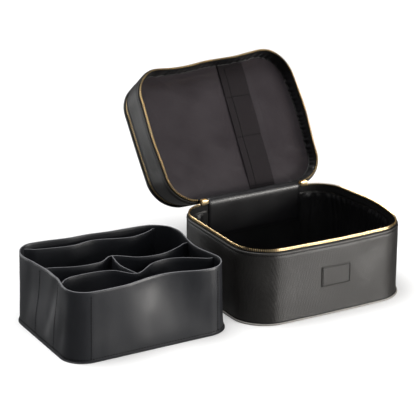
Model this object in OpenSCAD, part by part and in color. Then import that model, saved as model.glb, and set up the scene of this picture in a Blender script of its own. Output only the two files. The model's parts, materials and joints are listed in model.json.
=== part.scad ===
// Makeup train case: a zipped vanity case, its lid with a top compartment, and a lift-out divider insert.
// The underside's centre is the origin: X to the right, Y to the hinge at the back, Z up. Millimetres.
// The lid is modelled shut, with its heights counted from the rim, and lid_frame() then swings it open.

/* [Case] */
// Width of the case
case_w = 260; // [220:5:320]
// Depth of the case, front to back
case_d = 216; // [180:4:260]
// Corner radius seen from above
corner_r = 46; // [38:1:54]
// Height of the line where case and lid meet
rim_h = 111; // [90:1:150]
// Leather skin
skin_t = 1.2; // [0.8:0.1:1.6]
// Stiffening board behind the leather
board_t = 1.6; // [1:0.1:2]
// Satin lining
lining_t = 0.6; // [0.4:0.1:0.8]
// Radius of the piping round the underside
piping_r = 1.2; // [0.8:0.1:1.8]
// Width of the blank monogram patch
patch_w = 47; // [30:1:70]
// Height of the patch
patch_h = 30; // [20:1:40]
// Thickness of the patch
patch_t = 1.4; // [1:0.1:2]
// Height of the patch's middle
patch_z = 57; // [40:1:70]
// How far the patch's middle is to the right
patch_x = 5; // [-40:1:40]

/* [Zips] */
// Width of one side of the zip tape
tape_w = 11; // [9:0.5:14]
// Zip tape thickness
tape_t = 0.8; // [0.6:0.1:1]
// Thickness of a row of teeth, through the tape
row_t = 2.4; // [2:0.1:3]
// Height of a row of teeth, along the tape
row_h = 2.7; // [2:0.1:3]
// Half the gap that a slider's post needs between two rows
row_gap = 1.1; // [1:0.1:1.5]
// Length of a slider
slider_l = 12; // [10:0.5:13]
// Height of a slider, across both rows
slider_h = 8.4; // [7.6:0.1:8.6]
// Thickness of a slider's plates
slider_t = 1.3; // [1:0.1:1.5]
// Length of a pull tab
pull_l = 24; // [18:1:30]
// Width of a pull tab
pull_w = 6; // [5:0.5:8]
// Thickness of a pull tab
pull_t = 1.2; // [1:0.1:1.5]

/* [Lid] */
// Angle that the lid stands open
open_angle = 128; // [100:1:130]
// Height of the top compartment's zip above the rim
top_zip_z = 57; // [45:1:70]
// How far the back of the lid leans in at that zip
lid_taper = 15; // [5:1:18]
// Depth of the lid's lined hollow, from the rim to its panel
panel_z = 25; // [18:1:28]
// Thickness of the lid panel between the hollow and the top compartment
panel_t = 2; // [1.5:0.1:3]
// Radius of the piping round the lid panel
panel_piping_r = 1.1; // [0.8:0.1:1.4]
// Width of the elastic brush strap
strap_w = 42; // [30:1:50]
// Thickness of the strap
strap_t = 1.2; // [0.8:0.1:1.6]
// Sideways place of the strap's front end
strap_front_x = 43; // [-60:1:60]
// Sideways place of the strap's back end
strap_back_x = 31; // [-60:1:60]
// Thickness of the top cover's padded panel
cover_t = 2.4; // [2:0.1:3]

/* [Mirror] */
// Width of the compact mirror
mirror_w = 110; // [80:5:130]
// Length of the mirror
mirror_l = 90; // [70:5:110]
// Thickness of the mirror
mirror_t = 7; // [5:0.5:10]
// Thickness of the glass let into it
glass_t = 1.6; // [1:0.1:2]
// Border round the glass
mirror_border = 7; // [5:0.5:12]
// Thickness of the pocket's fabric
pocket_t = 0.8; // [0.6:0.1:1.2]
// Room round the mirror in its pocket
pocket_gap = 0.8; // [0.5:0.1:1.5]
// Length of mirror that stands out of the pocket
mirror_out = 20; // [12:1:30]

/* [Handle] */
// Spacing of the two handle rings
handle_span = 120; // [100:5:140]
// Drop from the ring's bar to the grip's middle
handle_drop = 34; // [30:1:40]
// Radius of the rolled grip
grip_r = 4.5; // [3.5:0.1:6]
// Wire radius of the handle rings
ring_wire_r = 1.3; // [1:0.1:1.6]
// Radius of the ring's bow
ring_r = 9; // [8:0.5:11]

/* [Divider insert] */
// Width of the insert
insert_w = 241; // [190:1:244]
// Depth of the insert
insert_d = 192; // [150:1:200]
// Height of the insert's wall
insert_h = 100; // [80:1:104]
// Corner radius of the insert
insert_r = 32; // [24:1:40]
// Thickness of the insert's sheets
sheet_t = 1.6; // [1.2:0.1:2]
// How far the sheet that is the floor stands out past the wall
flange = 2; // [1:0.5:3]
// Height of the inner sheets' edge under the wall's edge
divider_drop = 5; // [2:1:12]
// Sideways place of the insert's middle, beside the case
insert_x = -272; // [-320:2:-260]
// Place of the insert's middle, front to back
insert_y = 2; // [-60:1:60]

/* [Hidden] */

$fn = 64;
hull_fn = 48;                                    // the tapered lid shells are made of flats
fit = 0.3;                                       // running clearance between moving pieces
lap = 0.2;                                       // gap between pieces sewn edge to edge
base_t = 1.2;                                    // leather under the case
base_board_t = 2;
floor_gap = 0.1;                                 // the floor drops in between the walls
edge_drop = 5;                                   // from the rim down to the leather's edge
wall_top = rim_h - edge_drop;
hinge_y = case_d / 2;                            // the hinge line runs along the back edge of the rim
board_in = skin_t + board_t;                     // depth of the board's inner face under the outer face
row_mid = board_in + tape_t / 2;                 // middle of the tapes and rows, same depth
slider_gap = row_t + 1.1;                        // room between a slider's plates
slider_x = case_w / 2 - corner_r;                // middle of a slider parked where the corner begins
row_start = slider_x + slider_l / 2 + 0.5;       // rows of teeth begin just past the parked sliders
strip_r = 1.6;                                   // bars that stand in for the bending leather
strip_half = slider_x - slider_l / 2 - 1;        // they stop short of the parked sliders
pull_out = slider_gap / 2 + slider_t + 1.95;     // a pull tab's pin, out from the middle of the tape
pull_pin_r = 0.6;
edge_z = 6.5;                                    // the lid's leather begins this far above the rim
taper_start = 12;                                // the lid's back wall is upright below this
top_edge_z = top_zip_z - 4.7;                    // the lid's leather ends this far above the rim
facet_gap = 0.15;                               // the lid's board is this clear of what is round it
cover_z = top_zip_z + edge_z;                    // the cover's leather begins here
cover_seat = cover_z + 1.6;                      // underside of its padded panel
cover_top = cover_seat + cover_t;
cover_inset = 0.4;
pocket_z = panel_z + panel_t;
tab_bore = ring_wire_r + 0.4;
tab_r = tab_bore + 1.4;
handle_z = cover_top + tab_r + 0.4;              // height of the ring bars over the rim, lid shut
leather = [0.10, 0.10, 0.105];
satin = [0.05, 0.05, 0.055];
mauve = [0.23, 0.21, 0.225];
brass = [0.80, 0.66, 0.40];
slate = [0.20, 0.205, 0.22];

// How far the lid's back wall leans in at a height above the rim
function back_in(z) = lid_taper * max(0, z - taper_start) / (top_zip_z - taper_start);

// Rectangle with round corners
module rounded(w, d, r) {
    square([w - 2 * r, d], center = true);
    square([w, d - 2 * r], center = true);
    for (x = [-1, 1], y = [-1, 1]) translate([x * (w / 2 - r), y * (d / 2 - r)]) circle(r);
}

// Outline of the case, drawn in by inset, and drawn in at the back by a further amount
module outline(inset, back = 0) translate([0, -back / 2])
    rounded(case_w - 2 * inset, case_d - 2 * inset - back, corner_r - inset);

module plate(inset, z0, z1, back = 0) translate([0, 0, z0]) linear_extrude(z1 - z0) outline(inset, back);

module ring(inset, t, z0, z1, back = 0) translate([0, 0, z0]) linear_extrude(z1 - z0) difference() {
    outline(inset, back);
    outline(inset + t, back);
}

// Round bead that follows the outline
module bead(inset, r, z, back = 0) {
    c = corner_r - inset;
    x = case_w / 2 - corner_r;
    y0 = case_d / 2 - corner_r;
    y1 = y0 - back;
    translate([0, 0, z]) {
        for (s = [-1, 1]) {
            translate([s * (x + c), -y0, 0]) rotate([-90, 0, 0]) cylinder(r = r, h = y0 + y1);
            translate([-x, s > 0 ? y1 + c : -y0 - c, 0]) rotate([0, 90, 0]) cylinder(r = r, h = 2 * x);
        }
        for (k = [0:3]) translate([(k == 0 || k == 3) ? x : -x, k < 2 ? y1 : -y0, 0])
            rotate([0, 0, 90 * k]) rotate_extrude(angle = 90) translate([c, 0]) circle(r);
    }
}

// Takes the stretch between the parked sliders out of a ring
module past_sliders() difference() {
    children();
    translate([-row_start, 0, -1]) cube([2 * row_start, case_d, rim_h + top_zip_z]);
}

// Shell of the lid between two heights, upright and then leaning in at the back
module lid_shell(inset, z0, z1) hull() {
    plate(inset, z0, taper_start, 0, $fn = hull_fn);
    plate(inset, z1 - 0.01, z1, back_in(z1), $fn = hull_fn);
}

module lid_wall(inset, t, z0, z1) difference() {
    lid_shell(inset, z0, z1);
    lid_shell(inset + t, z0 - 1, z1 + 1);
}

// Swings what is modelled shut, in heights above the rim, about the hinge line
module lid_frame() translate([0, hinge_y, rim_h]) rotate([-open_angle, 0, 0]) translate([0, -hinge_y, 0])
    children();

// ---- Case ----

module case_skin() color(leather) ring(0, skin_t, base_t, wall_top);

module case_board() color("dimgray") ring(skin_t, board_t, base_t, wall_top - 1);

module base_panel() color(leather) plate(skin_t / 2, 0, base_t);

module base_board() color("dimgray") plate(board_in + floor_gap, base_t, base_t + base_board_t);

module base_piping() color("gray") bead(-piping_r - 0.05, piping_r, piping_r + 0.3);

module case_lining() color(satin)
    ring(board_in, lining_t, base_t + base_board_t + lining_t, wall_top - tape_w);

module lining_floor() color(satin) translate([0, 0, base_t + base_board_t]) plate(board_in + floor_gap, 0, lining_t);

module case_zip_tape() color(satin)
    ring(board_in, tape_t, wall_top - tape_w + lap, rim_h - row_gap - row_h);

module case_zip_row() color(brass) past_sliders()
    ring(row_mid - row_t / 2, row_t, rim_h - row_gap - row_h, rim_h - row_gap);

module monogram_patch() color(leather)
    translate([patch_x, -case_d / 2, patch_z]) rotate([90, 0, 0]) linear_extrude(patch_t)
        rounded(patch_w, patch_h, 2);

// The leather that bends between case and lid, as a bar on the hinge line
module hinge_strip() color(leather) translate([-strip_half, hinge_y, rim_h]) rotate([0, 90, 0])
    cylinder(r = strip_r, h = 2 * strip_half);

// The lining that covers the hinge inside the case
module hinge_flap() color(satin) {
    flap_t = 1;
    translate([-strip_half, hinge_y - board_in - tape_t - flap_t - floor_gap, wall_top - tape_w])
        cube([2 * strip_half, flap_t, tape_w + 3]);
}

// ---- Lid, modelled shut ----

module lid_skin() color(leather) lid_frame() lid_wall(0, skin_t, edge_z, top_edge_z);

module lid_board() color("dimgray") lid_frame()
    lid_wall(skin_t + facet_gap, board_t - 2 * facet_gap, edge_z + 1, top_edge_z - 0.5);

module lid_gusset_lining() color(satin) lid_frame()
    ring(board_in, lining_t, row_gap + row_h + tape_w + lap, panel_z - lap, back_in(panel_z));

module lid_panel() color(mauve) lid_frame()
    plate(board_in + lining_t, panel_z, pocket_z, back_in(pocket_z));

module lid_panel_piping() color(satin) lid_frame() {
    inset = board_in + lining_t + 2 * lap + panel_piping_r;
    bead(inset, panel_piping_r, panel_z - panel_piping_r, back_in(pocket_z));
}

// Elastic band across the panel, front edge to hinge, sewn a little askew
module brush_strap() color([0.15, 0.12, 0.135]) lid_frame() {
    end_in = board_in + lining_t + 2 * panel_piping_r + 1;
    front = -case_d / 2 + end_in;
    back = case_d / 2 - back_in(pocket_z) - end_in;
    translate([0, 0, panel_z - strap_t - lap]) linear_extrude(strap_t) polygon([
        [strap_front_x - strap_w / 2, front], [strap_front_x + strap_w / 2, front],
        [strap_back_x + strap_w / 2, back], [strap_back_x - strap_w / 2, back]]);
}

module lid_zip_tape() color(satin) lid_frame() past_sliders()
    ring(board_in, tape_t, row_gap + row_h, taper_start - 0.4);

module lid_zip_row() color(brass) lid_frame() past_sliders()
    ring(row_mid - row_t / 2, row_t, row_gap, row_gap + row_h);

module top_zip_lower_tape() color(satin) lid_frame()
    ring(board_in, tape_t, top_zip_z - row_gap - row_h - tape_w, top_zip_z - row_gap - row_h, lid_taper);

module top_zip_lower_row() color(brass) lid_frame() past_sliders()
    ring(row_mid - row_t / 2, row_t, top_zip_z - row_gap - row_h, top_zip_z - row_gap, lid_taper);

// Fabric pocket on the back of the lid panel, open towards the front of the lid
module mirror_pocket() color(satin) lid_frame() {
    inner = [mirror_w + 2 * pocket_gap, mirror_l - mirror_out + pocket_gap, mirror_t + pocket_gap];
    front = -mirror_l / 2 + mirror_out;
    outer = inner + [2, 1, 1] * pocket_t;
    translate([0, front, pocket_z]) difference() {
        translate([-outer[0] / 2, 0, 0]) cube(outer);
        translate([-inner[0] / 2, -1, -1]) cube([inner[0], inner[1] + 1, inner[2] + 1]);
    }
}

// ---- Top cover, modelled shut on the lid ----

module cover_band() color(leather) lid_frame() ring(0, skin_t, cover_z - 0.6, cover_seat, lid_taper);

module cover_panel() color(leather) lid_frame() plate(cover_inset, cover_seat, cover_top, lid_taper);

module cover_lining() color(satin) lid_frame()
    plate(board_in + 1, cover_seat - lining_t, cover_seat, lid_taper);

module top_zip_upper_tape() color(satin) lid_frame()
    ring(board_in, tape_t, top_zip_z + row_gap + row_h, cover_seat, lid_taper);

module top_zip_upper_row() color(brass) lid_frame() past_sliders()
    ring(row_mid - row_t / 2, row_t, top_zip_z + row_gap, top_zip_z + row_gap + row_h, lid_taper);

// The leather that bends between the lid and its cover
module cover_hinge_strip() color(leather) lid_frame() translate([-strip_half, hinge_y - lid_taper, top_zip_z])
    rotate([0, 90, 0]) cylinder(r = strip_r, h = 2 * strip_half);

// Leather tabs sewn on the cover, each with a tunnel for a ring's bar
module handle_tabs() color(leather) lid_frame() for (s = [-1, 1]) translate([s * handle_span / 2, 0, 0]) {
    w = 14;
    front = 22;                                  // how far the sewn part reaches each way from the bar
    back = 8.5;
    difference() {
        union() {
            translate([-w / 2, -front, cover_top]) cube([w, front + back, 1.4]);
            translate([-w / 2, 0, handle_z]) rotate([0, 90, 0]) cylinder(r = tab_r, h = w);
        }
        translate([-w / 2 - 1, 0, handle_z]) rotate([0, 90, 0]) cylinder(r = tab_bore, h = w + 2);
    }
}

// ---- Compact mirror, in the pocket ----

mirror_r = 8;                                    // corners of the mirror, and of its glass
glass_r = 4;
glass_sink = 0.2;                                // the glass lies this far under the frame's face

module mirror_glass_outline(gap) rounded(
    mirror_w - 2 * mirror_border - 2 * gap, mirror_l - 2 * mirror_border - 2 * gap, glass_r);

module mirror_frame() color(leather) lid_frame() translate([0, 0, pocket_z + pocket_gap / 2]) difference() {
    linear_extrude(mirror_t) rounded(mirror_w, mirror_l, mirror_r);
    translate([0, 0, mirror_t - glass_t]) linear_extrude(glass_t + 1) mirror_glass_outline(0);
}

module mirror_glass() color("lightsteelblue") lid_frame()
    translate([0, 0, pocket_z + pocket_gap / 2 + mirror_t - glass_t]) linear_extrude(glass_t - glass_sink)
        mirror_glass_outline(0.05);

// ---- Carry handle, hanging straight down from the cover of the open lid ----

// Puts its children on the bars' line, in the directions of the case
module at_handle() {
    y = -hinge_y;
    translate([0, hinge_y + y * cos(open_angle) + handle_z * sin(open_angle),
               rim_h - y * sin(open_angle) + handle_z * cos(open_angle)]) children();
}

// Lower half of a ring round the middle of a ring bar
module bow(r) rotate([90, 0, 0]) rotate([0, 0, 180]) rotate_extrude(angle = 180) translate([ring_r, 0]) circle(r);

module handle_rings() color(brass) at_handle() for (s = [-1, 1]) translate([s * handle_span / 2, 0, 0]) {
    translate([-ring_r, 0, 0]) rotate([0, 90, 0]) cylinder(r = ring_wire_r, h = 2 * ring_r);
    bow(ring_wire_r);
    for (e = [-1, 1]) translate([e * ring_r, 0, 0]) sphere(ring_wire_r);
}

module handle_grip() color(leather) at_handle() {
    bend = 14;                                   // radius of the grip's two bends
    leg = handle_drop - bend;
    half = handle_span / 2;
    loop_r = tab_bore + 1.3;                     // the folded ends that go round the rings
    loop_w = 10;
    neck_t = 4;
    neck = 6;
    difference() {
        union() for (s = [-1, 1]) {
            translate([s * half - loop_w / 2, 0, -ring_r]) {
                rotate([0, 90, 0]) cylinder(r = loop_r, h = loop_w);
                translate([0, -neck_t / 2, -neck]) cube([loop_w, neck_t, neck]);
            }
            translate([s * half, 0, -leg]) cylinder(r = grip_r, h = leg - ring_r - 4.5);
            translate([s * (half - bend), 0, -leg]) rotate([90, 0, 0]) rotate([0, 0, s > 0 ? -90 : 180])
                rotate_extrude(angle = 90) translate([bend, 0]) circle(grip_r);
            translate([0, 0, -handle_drop]) rotate([0, 90 * s, 0]) cylinder(r = grip_r, h = half - bend);
        }
        for (s = [-1, 1]) translate([s * half, 0, 0]) bow(tab_bore);
    }
}

// ---- Sliders and pull tabs ----

// A slider on a zip that runs along X, its outer plate towards +Y
module slider() {
    l = slider_l;
    h = slider_h;
    t = slider_t;
    g = slider_gap;
    post = 3;                                    // length of the post between the rows
    cheek_x = 2.9;                               // the two cheeks that hold the pull's pin
    cheek_w = 1.4;
    cheek_r = 1.1;
    corner_cut = 1.5;
    difference() {
        union() {
            for (y = [-g / 2 - t, g / 2]) translate([-l / 2, y, -h / 2]) cube([l, t, h]);
            translate([l / 2 - post, -g / 2, -row_gap + fit]) cube([post, g, 2 * (row_gap - fit)]);
            for (x = [-1, 1]) translate([x * cheek_x - cheek_w / 2, g / 2 + t, -cheek_r])
                cube([cheek_w, pull_out - g / 2 - t + cheek_r, 2 * cheek_r]);
            translate([-cheek_x, pull_out, 0]) rotate([0, 90, 0]) cylinder(r = pull_pin_r, h = 2 * cheek_x);
        }
        for (x = [-1, 1], z = [-1, 1]) translate([x * l / 2, 0, z * h / 2]) rotate([90, 0, 0])
            cylinder(r = corner_cut, h = 3 * g, center = true, $fn = 4);
    }
}

// A pull tab that hangs from its pin along X, which is at the origin
module pull() {
    eye_r = 1.5;                                 // round the pin
    eye_w = 3.4;
    neck = 5;
    hole_r = 1.3;
    tip = -pull_l + pull_w / 2;                  // middle of the round end
    difference() {
        union() {
            translate([-eye_w / 2, 0, 0]) rotate([0, 90, 0]) cylinder(r = eye_r, h = eye_w);
            translate([-eye_w / 2, -pull_t / 2, -neck]) cube([eye_w, pull_t, neck]);
            translate([0, pull_t / 2, tip]) rotate([90, 0, 0]) linear_extrude(pull_t) {
                translate([-pull_w / 2, 0]) square([pull_w, -tip - neck]);
                circle(pull_w / 2);
            }
        }
        rotate([0, 90, 0]) cylinder(r = pull_pin_r + 0.25, h = 2 * eye_w, center = true);
        translate([0, 0, tip]) rotate([90, 0, 0]) cylinder(r = hole_r, h = 2 * pull_t, center = true);
    }
}

module main_slider_place(side) translate([side * slider_x, hinge_y - row_mid, rim_h])
    mirror([side > 0 ? 1 : 0, 0, 0]) children();

module main_slider_left() color(brass) main_slider_place(-1) slider();
module main_slider_right() color(brass) main_slider_place(1) slider();
module main_pull_left() color(brass) main_slider_place(-1) translate([0, pull_out, 0]) pull();
module main_pull_right() color(brass) main_slider_place(1) translate([0, pull_out, 0]) pull();

module top_slider_place() lid_frame() translate([slider_x, hinge_y - lid_taper - row_mid, top_zip_z])
    mirror([1, 0, 0]) children();

module top_slider() color(brass) top_slider_place() slider();

// This tab hangs straight down while the lid stands open
module top_pull() color(brass) top_slider_place() translate([0, pull_out, 0])
    rotate([open_angle, 0, 0]) pull();

// ---- Divider insert, beside the case ----

// Smooth inward dent of depth h, centred on c, that reaches as far as half each way
function dent(v, c, half, h) = abs(v - c) < half ? h * (1 + cos(180 * (v - c) / half)) / 2 : 0;

// Points round a rectangle with round corners
function loop(w, d, r, corner_n = 9, side_n = 12) = [
    for (k = [0:3]) let (
        sx = (k == 0 || k == 3) ? 1 : -1, sy = k < 2 ? 1 : -1,
        c = [sx * (w / 2 - r), sy * (d / 2 - r)], turn = 90 / corner_n,
        end = c + r * [cos(90 * k + 90), sin(90 * k + 90)],
        next_k = (k + 1) % 4,
        nx = (next_k == 0 || next_k == 3) ? 1 : -1, ny = next_k < 2 ? 1 : -1,
        next = [nx * (w / 2 - r), ny * (d / 2 - r)] + r * [cos(90 * k + 90), sin(90 * k + 90)])
        each concat(
            [for (i = [0:corner_n - 1]) c + r * [cos(90 * k + turn * i), sin(90 * k + turn * i)]],
            [for (i = [0:side_n - 1]) end + (next - end) * i / side_n])
];

// The soft wall draws in a little along each side
wall_dent = 5;
side_dent_y = -12;                               // middle of the dent in the two short sides
long_dent_x = 15;                                // middle of the dent in the two long sides
function soft(p) = [
    p[0] - (abs(p[0]) > insert_w / 2 - insert_r ? sign(p[0]) * dent(p[1], side_dent_y, 60, wall_dent) : 0),
    p[1] - (abs(p[1]) > insert_d / 2 - insert_r ? sign(p[1]) * dent(p[0], long_dent_x, 70, wall_dent) : 0)];

module wall_outline(inset) polygon([
    for (p = loop(insert_w - 2 * inset, insert_d - 2 * inset, insert_r - inset)) soft(p)]);

// One bay of a sewn sheet, from a to b, that bellies out by sag
function bay(a, b, sag, n = 12) = [
    for (i = [0:n]) let (t = i / n, d = (b - a) / norm(b - a))
        a + (b - a) * t + sag * sin(180 * t) * [-d[1], d[0]]];

// Two bays that meet at a seam
function two_bays(a, seam, b, sag_a, sag_b) = concat(
    bay(a, seam, sag_a), [for (p = bay(seam, b, sag_b)) if (p != seam) p]);

// A sheet of the thickness that follows a line of points
function side_of(line, off) = [
    for (i = [0:len(line) - 1]) let (
        p = line[max(0, i - 1)], q = line[min(len(line) - 1, i + 1)], d = (q - p) / norm(q - p))
        line[i] + off * [-d[1], d[0]]];
function reversed(v) = [for (i = [len(v) - 1:-1:0]) v[i]];
module sheet(line, z0, z1) translate([0, 0, z0]) linear_extrude(z1 - z0)
    polygon(concat(side_of(line, sheet_t / 2), reversed(side_of(line, -sheet_t / 2))));

module at_insert() translate([insert_x, insert_y, 0]) children();

inner_x = insert_w / 2 - sheet_t - 1;            // where the inner sheets meet the side walls
inner_y = insert_d / 2 - sheet_t - 1;
side_x = inner_x - wall_dent - 0.5;              // ends of the two long dividers, inside the dents
divider_top = insert_h - divider_drop;
seam_mid = [-4, 17];                             // seam of the middle divider
seam_front = [-4, -54];                          // seam of the front divider
join = sheet_t / 2 + 0.8;                        // from a long divider's middle to the cross divider

module insert_wall() color(slate) at_insert() translate([0, 0, sheet_t])
    linear_extrude(insert_h - sheet_t) difference() {
        wall_outline(0);
        wall_outline(sheet_t);
    }

module insert_floor() color(slate) at_insert() linear_extrude(sheet_t)
    polygon(loop(insert_w + 2 * flange, insert_d + 2 * flange, insert_r + flange));

// Each inner sheet runs from wall to wall, through a seam between its two bays
module two_bay_sheet(left, seam, right, sag_left, sag_right) color(slate) at_insert()
    sheet(two_bays(left, seam, right, sag_left, sag_right), sheet_t, divider_top);

module insert_back_pocket() {
    end_x = inner_x - 20;
    end_y = inner_y - 7;
    two_bay_sheet([-end_x, end_y], [0, end_y - 6], [end_x, end_y], -12, -12);
}

module insert_middle_divider() two_bay_sheet(
    [-side_x, seam_mid[1] + 8], seam_mid, [side_x, seam_mid[1] + 2], -14, -20);

module insert_cross_divider() color(slate) at_insert()
    sheet(bay(seam_mid - [0, join], seam_front + [0, join + 0.4], -5), sheet_t, divider_top);

module insert_front_divider() two_bay_sheet(
    [-side_x, seam_front[1] + 6], seam_front, [side_x, seam_front[1] - 4], 22, 22);

// ---- Drawing ----

case_skin();
case_board();
base_panel();
base_board();
base_piping();
case_lining();
lining_floor();
case_zip_tape();
case_zip_row();
monogram_patch();
hinge_strip();
hinge_flap();
lid_skin();
lid_board();
lid_gusset_lining();
lid_panel();
lid_panel_piping();
brush_strap();
lid_zip_tape();
lid_zip_row();
top_zip_lower_tape();
top_zip_lower_row();
mirror_pocket();
cover_hinge_strip();
cover_band();
cover_panel();
cover_lining();
top_zip_upper_tape();
top_zip_upper_row();
handle_tabs();
mirror_frame();
mirror_glass();
handle_rings();
handle_grip();
main_slider_left();
main_slider_right();
main_pull_left();
main_pull_right();
top_slider();
top_pull();
insert_wall();
insert_floor();
insert_back_pocket();
insert_middle_divider();
insert_cross_divider();
insert_front_divider();
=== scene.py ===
"""Visual model of a makeup train case that stands open, with its divider insert beside it.

Lengths are in metres. The lid and its cover are modelled shut, with heights counted from the rim, and then
swung open.
"""

import json
import logging
import math
from collections.abc import Callable, Iterable, Iterator, Sequence
from contextlib import contextmanager
from dataclasses import dataclass, field, replace
from enum import Enum
from itertools import pairwise

import bmesh
import bpy
from mathutils import Matrix, Vector, noise


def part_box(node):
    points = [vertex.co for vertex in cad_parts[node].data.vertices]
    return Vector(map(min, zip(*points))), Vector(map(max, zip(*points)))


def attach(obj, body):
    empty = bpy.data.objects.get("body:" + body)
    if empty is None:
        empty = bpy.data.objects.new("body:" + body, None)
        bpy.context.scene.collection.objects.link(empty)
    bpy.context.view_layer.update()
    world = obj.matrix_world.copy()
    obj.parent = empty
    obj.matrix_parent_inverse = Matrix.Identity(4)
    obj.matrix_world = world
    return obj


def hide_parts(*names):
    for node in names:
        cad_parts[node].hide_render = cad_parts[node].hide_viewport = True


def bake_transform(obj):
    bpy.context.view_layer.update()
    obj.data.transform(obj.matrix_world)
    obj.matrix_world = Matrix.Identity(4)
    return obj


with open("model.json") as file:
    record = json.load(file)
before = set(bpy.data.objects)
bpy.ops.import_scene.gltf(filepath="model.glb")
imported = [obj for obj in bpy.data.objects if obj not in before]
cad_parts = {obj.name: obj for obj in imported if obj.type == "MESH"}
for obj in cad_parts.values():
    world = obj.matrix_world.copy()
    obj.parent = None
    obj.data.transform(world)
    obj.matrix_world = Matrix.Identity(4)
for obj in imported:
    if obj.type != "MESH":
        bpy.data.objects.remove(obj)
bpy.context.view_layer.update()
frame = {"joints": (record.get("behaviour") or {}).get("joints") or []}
JOINTS = {joint["name"]: joint for joint in frame["joints"]}
LOG = logging.getLogger("train_case")

Piece = bpy.types.Object
Move = Callable[[Vector], Vector]
MM = 0.001
UP = Vector((0, 0, 1))
FLAT = 1e-6  # two heights closer than this are one level


def smoothstep(t: float) -> float:
    """Eases from 0 to 1 as t does."""
    t = min(max(t, 0.0), 1.0)
    return t * t * (3.0 - 2.0 * t)


# ---- Modelling by hand ----


def clear_selection() -> None:
    """Leaves nothing selected, because an operator acts on all that is."""
    if bpy.context.object and bpy.context.object.mode != "OBJECT":
        bpy.ops.object.mode_set(mode="OBJECT")
    bpy.ops.object.select_all(action="DESELECT")


def focus(piece: Piece) -> None:
    """Makes the piece the only one selected, and the active one."""
    clear_selection()
    piece.select_set(True)
    bpy.context.view_layer.objects.active = piece


def started(name: str) -> Piece:
    """The primitive that was just added, under its name."""
    piece = bpy.context.object
    piece.name = piece.data.name = name
    return piece


@contextmanager
def editing(piece: Piece, kind: str = "VERT") -> Iterator[None]:
    """Edit mode on one piece, with all of it selected.

    Args:
        piece: The piece to edit.
        kind: VERT, EDGE or FACE.
    """
    focus(piece)
    bpy.ops.object.mode_set(mode="EDIT")
    bpy.ops.mesh.select_mode(type=kind)
    bpy.ops.mesh.select_all(action="SELECT")
    try:
        yield
    finally:
        bpy.ops.object.mode_set(mode="OBJECT")


def choose(piece: Piece, kind: str, test: Callable[[object], bool]) -> None:
    """Selects the vertices, edges or faces that pass a test, and nothing else.

    Args:
        piece: The piece in edit mode.
        kind: verts, edges or faces.
        test: Says yes to what is wanted, by its place, length or normal.
    """
    bpy.ops.mesh.select_all(action="DESELECT")
    mesh = bmesh.from_edit_mesh(piece.data)
    for item in getattr(mesh, kind):
        if test(item):
            item.select_set(True)
    bmesh.update_edit_mesh(piece.data)


def push(offset: Sequence[float]) -> None:
    """Extrudes what is selected by an offset."""
    bpy.ops.mesh.extrude_region_move(TRANSFORM_OT_translate={"value": tuple(offset)})


def shape(piece: Piece, move: Move) -> Piece:
    """Moves each vertex of a finished mesh, as for a soft form."""
    for vertex in piece.data.vertices:
        vertex.co = move(vertex.co)
    piece.data.update()
    return piece


def modify(piece: Piece, kind: str, **settings: object) -> Piece:
    """Adds a modifier and applies it at once.

    Args:
        piece: The piece to change.
        kind: The modifier's type.
        **settings: Its settings.

    Returns:
        The piece.
    """
    focus(piece)
    modifier = piece.modifiers.new(kind.lower(), kind)
    for name, value in settings.items():
        setattr(modifier, name, value)
    bpy.ops.object.modifier_apply(modifier=modifier.name)
    return piece


def thicken(piece: Piece, thickness: float, offset: float = -1.0) -> Piece:
    """Gives a sheet its thickness, inwards unless told otherwise."""
    return modify(piece, "SOLIDIFY", thickness=thickness, offset=offset)


def round_edges(piece: Piece, width: float, segments: int = 2, angle: float = 35.0) -> Piece:
    """Rounds each edge sharper than an angle in degrees."""
    return modify(piece, "BEVEL", width=width, segments=segments, limit_method="ANGLE",
                  angle_limit=math.radians(angle))


def subdivide(piece: Piece, levels: int = 1) -> Piece:
    """Smooths a piece by subdivision."""
    return modify(piece, "SUBSURF", levels=levels, render_levels=levels)


def shade(piece: Piece, angle: float = 40.0) -> Piece:
    """Shades smooth, apart from edges sharper than an angle in degrees."""
    focus(piece)
    bpy.ops.object.shade_smooth_by_angle(angle=math.radians(angle))
    return piece


def face_outwards(piece: Piece) -> Piece:
    """Turns every face of a closed piece outwards."""
    with editing(piece, "FACE"):
        bpy.ops.mesh.remove_doubles(threshold=1e-6)
        bpy.ops.mesh.select_all(action="SELECT")
        bpy.ops.mesh.normals_make_consistent(inside=False)
    return piece


def joined(name: str, pieces: Sequence[Piece]) -> Piece:
    """Joins pieces into one."""
    clear_selection()
    for piece in pieces:
        piece.select_set(True)
    bpy.context.view_layer.objects.active = pieces[0]
    if len(pieces) > 1:
        bpy.ops.object.join()
    return started(name)


def repeat(name: str, pattern: Piece, places: Iterable[Matrix]) -> Piece:
    """Copies a pattern to each place, and removes the pattern.

    Args:
        name: Name of the piece that the copies make up.
        pattern: What is copied, modelled round the origin.
        places: Where the copies go.

    Returns:
        The copies as one piece.
    """
    copies = []
    for place in places:
        copy = pattern.copy()
        copy.data = pattern.data.copy()
        copy.data.transform(place)
        bpy.context.scene.collection.objects.link(copy)
        copies.append(copy)
    bpy.data.objects.remove(pattern)
    return joined(name, copies)


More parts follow.
